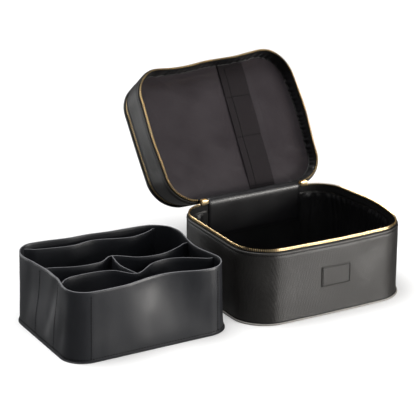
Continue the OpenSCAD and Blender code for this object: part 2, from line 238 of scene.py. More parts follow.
def tube(name: str, points: Sequence[Vector], radius: float, closed: bool = False,
         radii: Callable[[float], float] | None = None) -> Piece:
    """A round bar along a line of points.

    Args:
        name: Name of the piece.
        points: The line.
        radius: Radius of the bar.
        closed: Whether the line's end meets its start.
        radii: Share of the radius at each part of the way, from 0 to 1.

    Returns:
        The bar, closed at its ends.
    """
    curve = bpy.data.curves.new(name, "CURVE")
    curve.dimensions = "3D"
    curve.bevel_depth, curve.bevel_resolution, curve.use_fill_caps = radius, 3, not closed
    spline = curve.splines.new("POLY")
    spline.points.add(len(points) - 1)
    for i, point in enumerate(points):
        spline.points[i].co = (*point, 1.0)
        spline.points[i].radius = radii(i / (len(points) - 1)) if radii else 1.0
    spline.use_cyclic_u = closed
    piece = bpy.data.objects.new(name, curve)
    bpy.context.scene.collection.objects.link(piece)
    focus(piece)
    bpy.ops.object.convert(target="MESH")
    piece = started(name)
    return shade(face_outwards(piece), 60)


# ---- Plans ----


@dataclass(frozen=True)
class Cuts:
    """How finely a plan's corners, long sides and short sides are cut."""

    corner: int = 10
    long: int = 14
    short: int = 10


@dataclass(frozen=True)
class Plan:
    """Rectangle with round corners, seen from above."""

    width: float
    depth: float
    corner: float
    x: float = 0.0
    y: float = 0.0

    def inset(self, amount: float) -> "Plan":
        """The plan drawn in on all sides."""
        return replace(self, width=self.width - 2 * amount, depth=self.depth - 2 * amount,
                       corner=self.corner - amount)

    def leaning(self, back: float) -> "Plan":
        """The plan drawn in at the back only."""
        return replace(self, depth=self.depth - back, y=self.y - back / 2)

    @property
    def half(self) -> tuple[float, float]:
        """Distance from the middle to where the corners begin, each way."""
        return self.width / 2 - self.corner, self.depth / 2 - self.corner

    @property
    def length(self) -> float:
        """Length of the way round."""
        hx, hy = self.half
        return 4 * (hx + hy) + 2 * math.pi * self.corner

    def outward(self, x: float, y: float) -> Vector:
        """Direction that points straight out of the nearest edge."""
        hx, hy = self.half
        dx, dy = x - self.x, y - self.y
        way = Vector((dx - min(max(dx, -hx), hx), dy - min(max(dy, -hy), hy)))
        if way.length < 1e-7:
            side = self.width / 2 - abs(dx) < self.depth / 2 - abs(dy)
            way = Vector((math.copysign(1, dx), 0)) if side else Vector((0, math.copysign(1, dy)))
        return way.normalized()

    def fitted(self, point: Vector, old: "Plan") -> tuple[float, float]:
        """Where a point of an old plan lies on this one."""
        out = []
        ways = zip(point[:2], (old.x, old.y), (self.x, self.y), old.half, self.half)
        for value, was, now, reach, room in ways:
            value -= was
            if abs(value) > reach:
                value = math.copysign(room + (abs(value) - reach) * self.corner / old.corner, value)
            else:
                value *= room / reach
            out.append(value + now)
        return out[0], out[1]

    def along(self, s: float) -> tuple[Vector, Vector]:
        """Point and outward direction at a distance along the edge.

        Args:
            s: Distance from the middle of the back, towards the right.

        Returns:
            The point and the direction, both seen from above.
        """
        hx, hy = self.half
        s %= self.length
        arc = math.pi / 2 * self.corner
        way, across, corner = Vector((1, 0)), Vector((0, 1)), Vector((hx, hy))
        run = hx
        start = Vector((0, hy + self.corner))
        for k in range(5):
            if s <= run:
                return start + way * s + Vector((self.x, self.y)), across
            s -= run
            if s <= arc:
                turn = s / self.corner
                out = across * math.cos(turn) + way * math.sin(turn)
                return corner + out * self.corner + Vector((self.x, self.y)), out
            s -= arc
            way, across = -across, way
            start = corner + across * self.corner
            run = 2 * (hy if k % 2 == 0 else hx)
            corner = corner + way * run
        raise ValueError("the way round is shorter than its length")

    def places(self, pitch: float, height: float, skip: float = 0.0, shift: float = 0.0) -> Iterator[Matrix]:
        """Places along the edge, with X along it, Y outwards and Z up.

        Args:
            pitch: Spacing, changed a little to come out even.
            height: Height of the places.
            skip: Half the stretch at the middle of the back that is left out.
            shift: Part of a pitch by which the first place is moved.

        Returns:
            The places, one by one.
        """
        span = self.length - 2 * skip
        count = round(span / pitch)
        for i in range(count):
            point, out = self.along(skip + span * (i + 0.5 + shift) / count)
            yield Matrix(((out.y, out.x, 0, point.x), (-out.x, out.y, 0, point.y),
                          (0, 0, 1, height), (0, 0, 0, 1)))

    def flat_places(self, pitch: float, height: float) -> Iterator[Matrix]:
        """Places along the edge with X along it and Y upwards, for what lies on a level face."""
        for place in self.places(pitch, height):
            along = place.to_3x3().col[0]
            turn = Matrix((along, UP, along.cross(UP))).transposed().to_4x4()
            yield Matrix.Translation(place.translation) @ turn

    def way_round(self, point: Vector) -> float:
        """Roughly how far round the plan a point is, for patterns that go round it."""
        return math.atan2(point.y / self.depth, point.x / self.width) * self.length / (2 * math.pi)

    def from_edge(self, point: Vector) -> float:
        """Distance from a point inside to the nearest side."""
        return min(self.width / 2 - abs(point.x - self.x), self.depth / 2 - abs(point.y - self.y))

    def levels(self, *steps: tuple[float, float]) -> list[tuple[float, "Plan"]]:
        """Levels of a cross-section, each from its height and how far it is drawn in."""
        return [(height, self.inset(inset)) for height, inset in steps]


Levels = Sequence[tuple[float, Plan]]


def blank(name: str, plan: Plan, cuts: Cuts, height: float = 0.0) -> Piece:
    """The outline of a flat sheet cut to a plan.

    Args:
        name: Name of the piece.
        plan: Its outline.
        cuts: How finely the outline is cut.
        height: Height it lies at.

    Returns:
        A loop of edges.
    """
    clear_selection()
    bpy.ops.mesh.primitive_plane_add(size=1.0)
    piece = started(name)
    with editing(piece):
        bpy.ops.transform.resize(value=(plan.width, plan.depth, 1.0))
        bpy.ops.transform.translate(value=(plan.x, plan.y, height))
        bpy.ops.mesh.bevel(offset=plan.corner, segments=cuts.corner, affect="VERTICES", profile=0.5)
        bpy.ops.mesh.delete(type="ONLY_FACE")
        bpy.ops.mesh.select_mode(type="EDGE")
        for axis, count in ((0, cuts.long), (1, cuts.short)):
            least = 0.98 * 2 * plan.half[axis]
            choose(piece, "edges",
                   lambda edge: abs((edge.verts[0].co - edge.verts[1].co)[axis]) > least)
            bpy.ops.mesh.subdivide(number_cuts=count)
    return piece


def raise_wall(piece: Piece, levels: Levels) -> None:
    """Extrudes the selected loop through levels, each with its own plan."""
    for (low, old), (high, new) in pairwise(levels):
        push((0, 0, high - low))
        mesh = bmesh.from_edit_mesh(piece.data)
        for vertex in mesh.verts:
            if vertex.select:
                vertex.co.x, vertex.co.y = new.fitted(vertex.co, old)
        bmesh.update_edit_mesh(piece.data)


def wall(name: str, levels: Levels, cuts: Cuts = Cuts()) -> Piece:
    """An upright sheet that follows plans at rising levels, its faces outwards."""
    height, plan = levels[0]
    piece = blank(name, plan, cuts, height)
    with editing(piece):
        raise_wall(piece, levels)
        bpy.ops.mesh.select_all(action="SELECT")
        bpy.ops.mesh.normals_make_consistent(inside=False)
    side = piece.data.polygons[0]
    out = plan.outward(side.center.x, side.center.y)
    if side.normal.x * out.x + side.normal.y * out.y < 0:
        with editing(piece, "FACE"):
            bpy.ops.mesh.flip_normals()
    return piece


def collar(name: str, levels: Levels, cuts: Cuts = Cuts()) -> Piece:
    """A closed ring whose cross-section goes through levels and back to the first."""
    piece = wall(name, levels, cuts)
    with editing(piece, "EDGE"):
        choose(piece, "edges", lambda edge: edge.is_boundary)
        bpy.ops.mesh.bridge_edge_loops()
    return face_outwards(piece)


def slab(name: str, levels: Levels, cuts: Cuts = Cuts(), under: Sequence[float] = (),
         over: Sequence[float] = ()) -> Piece:
    """A closed plate whose edge goes through levels, from its underside to its top.

    Args:
        name: Name of the piece.
        levels: Its levels.
        cuts: How finely the outline is cut.
        under: Widths of the rings that its underside is cut into, from the edge inwards.
        over: The same for its top.

    Returns:
        The plate.
    """
    piece = wall(name, levels, cuts)
    with editing(piece, "EDGE"):
        for height, rings in ((levels[0][0], under), (levels[-1][0], over)):
            choose(piece, "edges", lambda edge: edge.is_boundary
                   and abs(edge.verts[0].co.z - height) < FLAT)
            bpy.ops.mesh.edge_face_add()
            for width in rings:
                bpy.ops.mesh.inset(thickness=width)
    return face_outwards(piece)


def sheet_of(name: str, across: int, along: int, move: Move) -> Piece:
    """A flat sheet of cloth laid out by a function of its place in a unit square."""
    clear_selection()
    bpy.ops.mesh.primitive_grid_add(x_subdivisions=across, y_subdivisions=along, size=1.0)
    return shape(started(name), move)


def face_down(piece: Piece) -> None:
    """Turns the faces of an open, level sheet downwards."""
    with editing(piece, "FACE"):
        bpy.ops.mesh.normals_make_consistent(inside=False)
    if piece.data.polygons[0].normal.z > 0:
        with editing(piece, "FACE"):
            bpy.ops.mesh.flip_normals()


def line_of(plan: Plan, height: float, step: float = 0.004) -> list[Vector]:
    """Points along a plan's edge at one height."""
    count = round(plan.length / step)
    return [Vector((*plan.along(plan.length * i / count)[0], height)) for i in range(count)]


# ---- Soft walls ----


@dataclass(frozen=True)
class Swell:
    """A soft place in a wall, pushed out or drawn in round one spot seen from above."""

    x: float
    y: float
    reach: float
    push: tuple[float, float]

    def share(self, point: Vector) -> float:
        """How much of the push a point gets."""
        t = math.hypot(point.x - self.x, point.y - self.y) / self.reach
        return (1 - t * t) ** 2 if t < 1 else 0.0


@dataclass(frozen=True)
class Softness:
    """Swells whose share changes with height."""

    swells: tuple[Swell, ...]
    low: float
    high: float
    low_share: float
    high_share: float

    def moved(self, point: Vector) -> Vector:
        """Where the soft wall takes a point."""
        share = self.low_share + (self.high_share - self.low_share) * smoothstep(
            (point.z - self.low) / (self.high - self.low))
        out = point.copy()
        for swell in self.swells:
            part = share * swell.share(point)
            out.x += swell.push[0] * part
            out.y += swell.push[1] * part
        return out

    def placed(self, places: Iterable[Matrix]) -> Iterator[Matrix]:
        """Places that go along with the soft wall."""
        for place in places:
            yield Matrix.Translation(self.moved(place.translation) - place.translation) @ place


def gathers(s: float, pitch: float, seed: float) -> float:
    """Height from 0 to 1 of cloth that is gathered into uneven folds, at a distance along it."""
    drift = 1.3 * noise.noise((s / (3.1 * pitch), seed, 0.0))
    ridge = 0.5 + 0.5 * math.cos(2 * math.pi * (s / pitch + drift))
    return ridge ** 1.5 * (0.65 + 0.5 * noise.noise((s / (4.7 * pitch), seed, 9.0)))


def unevenness(point: Vector, size: float, depth: float) -> float:
    """Slow bumps of a surface that was made by hand."""
    return depth * noise.noise(point / size)


# ---- Finishes ----


class Graph:
    """Adds nodes to one material's or effect's tree."""

    def __init__(self, tree: bpy.types.NodeTree) -> None:
        """Keeps the tree that the nodes go to."""
        self.tree = tree

    def add(self, kind: str, inputs: dict[int | str, object] | None = None,
            **settings: object) -> bpy.types.Node:
        """Adds a node.

        Args:
            kind: The node's type, without its ShaderNode.
            inputs: Sockets to link from, or plain values, by input.
            **settings: The node's settings.

        Returns:
            The node.
        """
        node = self.tree.nodes.new("ShaderNode" + kind)
        for name, value in settings.items():
            setattr(node, name, value)
        for name, value in (inputs or {}).items():
            if isinstance(value, bpy.types.NodeSocket):
                self.tree.links.new(value, node.inputs[name])
            else:
                node.inputs[name].default_value = value
        return node

    def math(self, operation: str, *values: object) -> bpy.types.NodeSocket:
        """One step of arithmetic on sockets or numbers."""
        return self.add("Math", dict(enumerate(values)), operation=operation).outputs[0]

    def waves(self, vector: object, direction: str, scale: object, wobble: float = 0.0) -> bpy.types.NodeSocket:
        """Even ridges across one axis, from 0 to 1."""
        return self.add("TexWave", {"Vector": vector, "Scale": scale, "Distortion": wobble, "Detail": 1.0,
                                    "Detail Scale": 1.5}, bands_direction=direction).outputs["Fac"]

    def grains(self, vector: object, scale: object, detail: float = 2.0) -> bpy.types.NodeSocket:
        """Noise, from 0 to 1."""
        return self.add("TexNoise", {"Vector": vector, "Scale": scale, "Detail": detail}).outputs["Fac"]


Lay = Callable[[Graph, bpy.types.NodeOutputs], dict[str, object]]


def effect(name: str, inputs: dict[str, object], outputs: Sequence[str], lay: Lay) -> bpy.types.NodeTree:
    """A shared effect, as a node group that is built once.

    Args:
        name: Name of the group.
        inputs: Default of each input: a number, a vector or a colour.
        outputs: Names of the outputs.
        lay: Lays the nodes and gives the socket of each output.

    Returns:
        The group.
    """
    found = bpy.data.node_groups.get(name)
    if found:
        return found
    tree = bpy.data.node_groups.new(name, "ShaderNodeTree")
    kinds = {0: "NodeSocketFloat", 3: "NodeSocketVector", 4: "NodeSocketColor"}
    for label, value in inputs.items():
        size = len(value) if isinstance(value, tuple) else 0
        tree.interface.new_socket(label, in_out="INPUT", socket_type=kinds[size]).default_value = value
    for label in outputs:
        kind = "NodeSocketColor" if label == "Color" else "NodeSocketFloat"
        tree.interface.new_socket(label, in_out="OUTPUT", socket_type=kind)
    graph = Graph(tree)
    source = tree.nodes.new("NodeGroupInput")
    target = tree.nodes.new("NodeGroupOutput")
    for label, socket in lay(graph, source.outputs).items():
        tree.links.new(socket, target.inputs[label])
    return tree


def tone_effect() -> bpy.types.NodeTree:
    """Slow change of colour and gloss over a surface, as handling leaves it."""
    def lay(graph: Graph, given: bpy.types.NodeOutputs) -> dict[str, object]:
        """Mixes two colours and two roughnesses by noise of two sizes."""
        broad = graph.grains(given["Vector"], graph.math("DIVIDE", 1.0, given["Size"]), 3.0)
        fine = graph.grains(given["Vector"], graph.math("DIVIDE", 14.0, given["Size"]), 4.0)
        mask = graph.math("ADD", graph.math("MULTIPLY", broad, 0.65), graph.math("MULTIPLY", fine, 0.35))
        least = {"Value": mask, "From Min": 0.36, "From Max": 0.64}
        ease = graph.add("MapRange", least, clamp=True).outputs[0]
        color = graph.add("Mix", {0: ease, 6: given["First"], 7: given["Second"]}, data_type="RGBA").outputs[2]
        ends = {"To Min": given["Smooth"], "To Max": given["Rough"]}
        rough = graph.add("MapRange", least | ends, clamp=True).outputs[0]
        return {"Color": color, "Roughness": rough}
    inputs = {"Vector": (0.0, 0.0, 0.0), "Size": 0.05, "First": (0.0, 0.0, 0.0, 1.0),
              "Second": (1.0, 1.0, 1.0, 1.0), "Smooth": 0.3, "Rough": 0.5}
    return effect("tone", inputs, ["Color", "Roughness"], lay)


def cross_grain_effect() -> bpy.types.NodeTree:
    """Fine crossed ridges pressed into coated leather."""
    def lay(graph: Graph, given: bpy.types.NodeOutputs) -> dict[str, object]:
        """Crosses two slanted sets of ridges and breaks them up."""
        ridges = []
        for turn in (0.8, -0.75):
            slanted = graph.add("Mapping", {"Vector": given["Vector"],
                                            "Rotation": (turn, turn, turn)}).outputs[0]
            ridges.append(graph.waves(slanted, "X", graph.math("DIVIDE", 0.32, given["Size"]), 2.6))
        broken = graph.grains(given["Vector"], graph.math("DIVIDE", 1.6, given["Size"]))
        height = graph.math("MULTIPLY", graph.math("MAXIMUM", *ridges), broken)
        return {"Height": height}
    return effect("cross_grain", {"Vector": (0.0, 0.0, 0.0), "Size": 0.001}, ["Height"], lay)


def pebble_effect() -> bpy.types.NodeTree:
    """Small round pebbles with fine creases between them."""
    def lay(graph: Graph, given: bpy.types.NodeOutputs) -> dict[str, object]:
        """Takes the cells' distance, softened by noise."""
        scale = graph.math("DIVIDE", 1.0, given["Size"])
        drift = graph.add("TexNoise", {"Vector": given["Vector"], "Scale": graph.math("MULTIPLY", scale, 0.4)})
        mixed = graph.add("MixRGB", {0: 0.0006, 1: given["Vector"], 2: drift.outputs["Color"]}).outputs[0]
        cells = graph.add("TexVoronoi", {"Vector": mixed, "Scale": scale}, feature="SMOOTH_F1")
        return {"Height": graph.math("SUBTRACT", 1.0, cells.outputs["Distance"])}
    return effect("pebble", {"Vector": (0.0, 0.0, 0.0), "Size": 0.001}, ["Height"], lay)


def weave_effect() -> bpy.types.NodeTree:
    """Threads that pass over and under each other."""
    def lay(graph: Graph, given: bpy.types.NodeOutputs) -> dict[str, object]:
        """Multiplies ridges along the three axes, so that two always cross."""
        scale = graph.math("DIVIDE", 0.32, given["Size"])
        across = [graph.waves(given["Vector"], axis, scale, 0.4) for axis in "XYZ"]
        pair = graph.math("MAXIMUM", graph.math("MULTIPLY", across[0], across[1]),
                          graph.math("MULTIPLY", graph.math("ADD", across[0], across[1]),
                                     graph.math("MULTIPLY", across[2], 0.5)))
        slub = graph.grains(given["Vector"], graph.math("DIVIDE", 0.3, given["Size"]))
        return {"Height": graph.math("ADD", pair, graph.math("MULTIPLY", slub, 0.5))}
    return effect("weave", {"Vector": (0.0, 0.0, 0.0), "Size": 0.0005}, ["Height"], lay)


def rib_effect() -> bpy.types.NodeTree:
    """Ribs that run along a band, with finer threads across them."""
    def lay(graph: Graph, given: bpy.types.NodeOutputs) -> dict[str, object]:
        """Adds threads at a third of the ribs' pitch."""
        ribs = graph.waves(given["Vector"], "X", graph.math("DIVIDE", 0.32, given["Size"]))
        threads = graph.waves(given["Vector"], "Y", graph.math("DIVIDE", 0.95, given["Size"]), 0.6)
        return {"Height": graph.math("ADD", ribs, graph.math("MULTIPLY", threads, 0.35))}
    return effect("ribs", {"Vector": (0.0, 0.0, 0.0), "Size": 0.001}, ["Height"], lay)


def scratch_effect() -> bpy.types.NodeTree:
    """Hairline marks of wear on polished metal and glass."""
    def lay(graph: Graph, given: bpy.types.NodeOutputs) -> dict[str, object]:
        """Stretches noise into lines and keeps its crests."""
        drawn = graph.add("Mapping", {"Vector": given["Vector"], "Rotation": (0.4, 0.9, 0.3),
                                      "Scale": (1.0, 14.0, 3.0)}).outputs[0]
        lines = graph.grains(drawn, graph.math("DIVIDE", 1.0, given["Size"]), 3.0)
        crests = graph.add("MapRange", {"Value": lines, "From Min": 0.45, "From Max": 0.7}, clamp=True)
        return {"Height": crests.outputs[0]}
    return effect("scratches", {"Vector": (0.0, 0.0, 0.0), "Size": 0.002}, ["Height"], lay)


class Grain(Enum):
    """What a surface is covered with, close up."""

    CROSS = "crossed ridges"
    PEBBLE = "pebbles"
    WEAVE = "woven threads"
    RIBS = "ribs"
    SCRATCHES = "hairline scratches"

    @property
    def tree(self) -> bpy.types.NodeTree:
        """The effect that draws it."""
        return {Grain.CROSS: cross_grain_effect, Grain.PEBBLE: pebble_effect, Grain.WEAVE: weave_effect,
                Grain.RIBS: rib_effect, Grain.SCRATCHES: scratch_effect}[self]()


@dataclass(frozen=True)
class Finish:
    """One finish: a base in two tones, its gloss and its grain.

    The grain's size and depth are in metres, and turn is how far about X the pattern is turned, in radians.
    """

    name: str
    slot: str
    first: tuple[float, float, float]
    second: tuple[float, float, float]
    gloss: tuple[float, float]
    grain: Grain
    size: float
    depth: float
    tone_size: float = 0.05
    metallic: float = 0.0
    sheen: float = 0.0
    specular: float = 0.5
    turn: float = 0.0

    def material(self) -> bpy.types.Material:
        """The finish as a material, made at its first use."""
        label = "finish_" + self.name
        found = bpy.data.materials.get(label)
        if found:
            return found
        material = bpy.data.materials.new(label)
        material.use_nodes = True
        graph = Graph(material.node_tree)
        shader = material.node_tree.nodes["Principled BSDF"]
        place = graph.add("TexCoord").outputs["Object"]
        if self.turn:
            place = graph.add("Mapping", {"Vector": place, "Rotation": (self.turn, 0.0, 0.0)}).outputs[0]
        tone = graph.add("Group", node_tree=tone_effect())
        tone.inputs["Size"].default_value = self.tone_size
        tone.inputs["First"].default_value = (*self.first, 1.0)
        tone.inputs["Second"].default_value = (*self.second, 1.0)
        tone.inputs["Smooth"].default_value, tone.inputs["Rough"].default_value = self.gloss
        grain = graph.add("Group", node_tree=self.grain.tree)
        grain.inputs["Size"].default_value = self.size
        for node in (tone, grain):
            graph.tree.links.new(place, node.inputs["Vector"])
        bump = graph.add("Bump", {"Height": grain.outputs["Height"], "Distance": self.depth, "Strength": 1.0})
        graph.tree.links.new(tone.outputs["Color"], shader.inputs["Base Color"])
        graph.tree.links.new(tone.outputs["Roughness"], shader.inputs["Roughness"])
        graph.tree.links.new(bump.outputs["Normal"], shader.inputs["Normal"])
        shader.inputs["Metallic"].default_value = self.metallic
        shader.inputs["Specular IOR Level"].default_value = self.specular
        shader.inputs["Sheen Weight"].default_value = self.sheen
        shader.inputs["Sheen Roughness"].default_value = 0.4
        return material

    def turned(self, angle: float) -> "Finish":
        """The same finish with its pattern turned to suit the lid."""
        return replace(self, name=self.name + "_lid", turn=angle)


LEATHER = Finish("case_leather", "case_leather", (0.0085, 0.0078, 0.0072), (0.0125, 0.0115, 0.0106),
                 (0.36, 0.46), Grain.CROSS, 0.0013, 0.00022, specular=0.45)
TRIM = Finish("edge_trim", "case_leather", (0.004, 0.004, 0.004), (0.007, 0.007, 0.007), (0.45, 0.6),
              Grain.PEBBLE, 0.0006, 0.00003, specular=0.3)
PIPING = Finish("grey_piping", "piping", (0.17, 0.16, 0.15), (0.24, 0.23, 0.21), (0.35, 0.5),
                Grain.PEBBLE, 0.0007, 0.00004)
INSERT = Finish("insert_leather", "insert_leather", (0.0074, 0.0082, 0.0106), (0.0108, 0.0118, 0.0150),
                (0.42, 0.52), Grain.PEBBLE, 0.0010, 0.00010, specular=0.45)
CUT_EDGE = Finish("insert_cut_edge", "insert_leather", (0.10, 0.10, 0.11), (0.15, 0.15, 0.16), (0.5, 0.7),
                  Grain.PEBBLE, 0.0005, 0.00006, tone_size=0.01)
BLACK_SATIN = Finish("black_satin", "black_satin", (0.0022, 0.0022, 0.0026), (0.0040, 0.0040, 0.0046),
                     (0.36, 0.5), Grain.WEAVE, 0.0005, 0.00004, specular=0.35)
MAUVE_SATIN = Finish("mauve_satin", "grey_satin", (0.0170, 0.0134, 0.0156), (0.0225, 0.0180, 0.0208),
                     (0.40, 0.50), Grain.WEAVE, 0.0005, 0.00003, specular=0.30)
HINGE_SATIN = Finish("hinge_satin", "grey_satin", (0.0040, 0.0038, 0.0046), (0.0065, 0.0062, 0.0074),
                     (0.32, 0.40), Grain.WEAVE, 0.0005, 0.00002, specular=0.5)
ELASTIC = Finish("elastic_band", "elastic", (0.0068, 0.0049, 0.0060), (0.0095, 0.0070, 0.0083), (0.7, 0.85),
                 Grain.RIBS, 0.0011, 0.00012, specular=0.2)
TAPE = Finish("zip_tape", "zip_tape", (0.003, 0.003, 0.0032), (0.006, 0.006, 0.0063), (0.6, 0.75),
              Grain.WEAVE, 0.0006, 0.00008, specular=0.25)
BRASS = Finish("pale_brass", "brass", (0.66, 0.49, 0.25), (0.78, 0.61, 0.35), (0.26, 0.38),
               Grain.SCRATCHES, 0.003, 0.000012, tone_size=0.02, metallic=1.0)
GLASS = Finish("mirror_glass_finish", "mirror", (0.88, 0.89, 0.90), (0.90, 0.91, 0.92), (0.02, 0.04),
               Grain.SCRATCHES, 0.02, 0.000001, tone_size=0.2, metallic=1.0)
THREAD = Finish("black_thread", "case_leather", (0.0015, 0.0015, 0.0016), (0.003, 0.003, 0.0032), (0.6, 0.8),
                Grain.RIBS, 0.0004, 0.00005, specular=0.15)
BOARD = Finish("grey_board", "board", (0.22, 0.21, 0.19), (0.28, 0.27, 0.25), (0.8, 0.9),
               Grain.PEBBLE, 0.0008, 0.00005)


# ---- Homes ----


@dataclass(frozen=True)
class Home:
    """The body that pieces ride on, the softness of its walls and the way it stands open."""

    body: str
    softness: Softness
    swing: Matrix = field(default_factory=lambda: Matrix.Identity(4))

    def take(self, piece: Piece, finish: Finish, *nodes: str, soft: bool = True) -> Piece:
        """Puts a piece in place, gives it its finish and hides the CAD nodes that it stands for.

        Args:
            piece: The piece, modelled shut.
            finish: Its finish.
            *nodes: The CAD nodes it stands for.
            soft: Whether it goes along with the soft walls.

        Returns:
            The piece.
        """
        if soft:
            shape(piece, self.softness.moved)
        piece.data.transform(self.swing)
        piece.data.update()
        self.dress(piece, finish, *nodes)
        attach(piece, self.body)
        return piece

    @staticmethod
    def dress(piece: Piece, finish: Finish, *nodes: str) -> Piece:
        """Gives a piece its finish and hides the CAD nodes that it stands for."""
        piece.data.materials.clear()
        piece.data.materials.append(finish.material())
        if nodes:
            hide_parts(*nodes)
        LOG.info("%s: %d faces, %s", piece.name, len(piece.data.polygons), finish.name)
        return piece


def paint_faces(piece: Piece, finish: Finish, test: Callable[[bpy.types.MeshPolygon], bool]) -> None:
    """Gives the faces that pass a test a second finish."""
    piece.data.materials.append(finish.material())
    for face in piece.data.polygons:
        if test(face):
            face.material_index = 1


def relax(piece: Piece, sewn: Callable[[Vector], float], growth: float, pressure: float, cap: float) -> None:
    """Lets a piece of cloth settle under pressure, held where it is sewn.

    Args:
        piece: The cloth.
        sewn: How firmly each point is held, from 0 to 1.
        growth: How much larger the cloth is than its place.
        pressure: Force of the padding behind it.
        cap: The most that a point may move.
    """
    scene = bpy.context.scene
    focus(piece)
    group = piece.vertex_groups.new(name="sewn")
    rest = [vertex.co.copy() for vertex in piece.data.vertices]
    for vertex in piece.data.vertices:
        group.add([vertex.index], sewn(vertex.co), "REPLACE")
    cloth = piece.modifiers.new("cloth", "CLOTH")
    settings = cloth.settings
    settings.quality, settings.mass = 6, 0.15
    settings.tension_stiffness = settings.compression_stiffness = 12.0
    settings.bending_stiffness = 0.08
    settings.shrink_min = -growth
    settings.vertex_group_mass = group.name
    settings.effector_weights.gravity = 0.0
    settings.use_pressure, settings.uniform_pressure_force = True, pressure
    cloth.collision_settings.use_collision = False
    cloth.point_cache.frame_start, cloth.point_cache.frame_end = 1, 20
    for step in range(1, 21):
        scene.frame_set(step)
    bpy.ops.object.modifier_apply(modifier=cloth.name)
    scene.frame_set(1)
    for vertex, was in zip(piece.data.vertices, rest):
        moved = vertex.co - was
        if moved.length > cap:
            vertex.co = was + moved * (cap / moved.length)
    piece.vertex_groups.clear()


# ---- Sewing ----


def stitch_pattern(length: float = 0.0029, width: float = 0.0010) -> Piece:
    """One stitch of thread along X, sunk at both ends."""
    clear_selection()
    bpy.ops.mesh.primitive_cube_add(size=1.0)
    piece = started("stitch_pattern")
    with editing(piece, "FACE"):
        bpy.ops.transform.resize(value=(length * 0.5, width, width * 0.9))
        for way in (-1, 1):
            choose(piece, "faces", lambda face: face.normal.x * way > 0.5)
            push((way * length * 0.25, 0, 0))
            bpy.ops.transform.resize(value=(1.0, 0.55, 0.55))
            bpy.ops.transform.translate(value=(0, -width * 0.35, 0))
    return shade(piece, 60)


def seam(name: str, home: Home, places: Iterable[Matrix], soft: bool = True) -> Piece:
    """A row of stitches.

    Args:
        name: Name of the row.
        home: What it is sewn to.
        places: Where the stitches lie, with X along them and Y outwards.
        soft: Whether they go along with the soft walls.

    Returns:
        The row as one piece.
    """
    if soft:
        places = home.softness.placed(places)
    return home.take(repeat(name, stitch_pattern(), places), THREAD, soft=False)


def seam_line(start: Vector, end: Vector, outward: Vector, pitch: float = 0.0040) -> Iterator[Matrix]:
    """Places of a straight row of stitches on a face that looks outward."""
    along = (end - start).normalized()
    up = along.cross(outward)
    count = max(2, round((end - start).length / pitch))
    for i in range(count):
        point = start.lerp(end, (i + 0.5) / count)
        yield Matrix.Translation(point) @ Matrix((along, outward, up)).transposed().to_4x4()


CORD_OUT = 0.0034  # from the line where a zip closes to the middle of its cords
CORD_RADIUS = 0.0009


@dataclass(frozen=True)
class ZipSide:
    """One side of a metal zip: the woven tape with its cord, and the row of teeth that grips it."""

    name: str
    home: Home
    plan: Plan
    line: float
    side: int
    skip: float
    width: float
    tape_node: str
    row_node: str
    finish: Finish = TAPE
    pitch: float = 0.0028
    thickness: float = 0.0008

    def build(self) -> None:
        """Builds the tape, its cord and its teeth."""
        self.build_tape()
        self.build_cord()
        self.build_teeth()

    def build_tape(self) -> None:
        """The woven tape, on the side away from the line where the zip closes."""
        near, far = (self.line + self.side * (CORD_OUT + width) for width in (0.0, self.width))
        low, high = min(near, far), max(near, far)
        outer, inner = self.plan.inset(-self.thickness / 2), self.plan.inset(self.thickness / 2)
        middle = (low + high) / 2
        piece = collar(self.name + "_webbing", [(low, outer), (middle, outer), (high, outer), (high, inner),
                                             (middle, inner), (low, inner)])
        self.home.take(round_edges(piece, 0.0002, 1), self.finish, self.tape_node)

    def build_cord(self) -> None:
        """The cord along the tape's edge."""
        line = line_of(self.plan, self.line + self.side * CORD_OUT)
        piece = tube(self.name + "_cord", line, CORD_RADIUS, closed=True)
        self.home.take(piece, self.finish)

    def tooth(self) -> Piece:
        """One tooth: a clamp round the cord, a waist and a head."""
        clear_selection()
        bpy.ops.mesh.primitive_cube_add(size=1.0)
        piece = started("tooth_pattern")
        with editing(piece, "FACE"):
            bpy.ops.transform.resize(value=(0.0013, 0.0022, 0.0022))
            bpy.ops.transform.translate(value=(0, 0, -0.0032))
            choose(piece, "faces", lambda face: face.normal.z > 0.5)
            bpy.ops.mesh.inset(thickness=0.0002)
            push((0, 0, 0.0002))
            bpy.ops.transform.resize(value=(0.8, 0.8, 1))
            push((0, 0, 0.0007))
            bpy.ops.transform.resize(value=(1.35, 1.0, 1))
            push((0, 0, 0.0004))
            bpy.ops.transform.resize(value=(0.75, 0.8, 1))
        return shade(piece, 30)

    def build_teeth(self) -> None:
        """The row of teeth, which ends beside the sliders; the two sides' teeth take turns along the line."""
        turn = Matrix.Rotation(math.pi, 4, "X") if self.side > 0 else Matrix.Identity(4)
        shift = 0.25 * self.side
        places = self.home.softness.placed(self.plan.places(self.pitch, self.line, self.skip, shift))
        piece = repeat(self.name + "_teeth", self.tooth(), (place @ turn for place in places))
        self.home.take(piece, BRASS, self.row_node, soft=False)


# ---- The case's own sizes, from the CAD ----

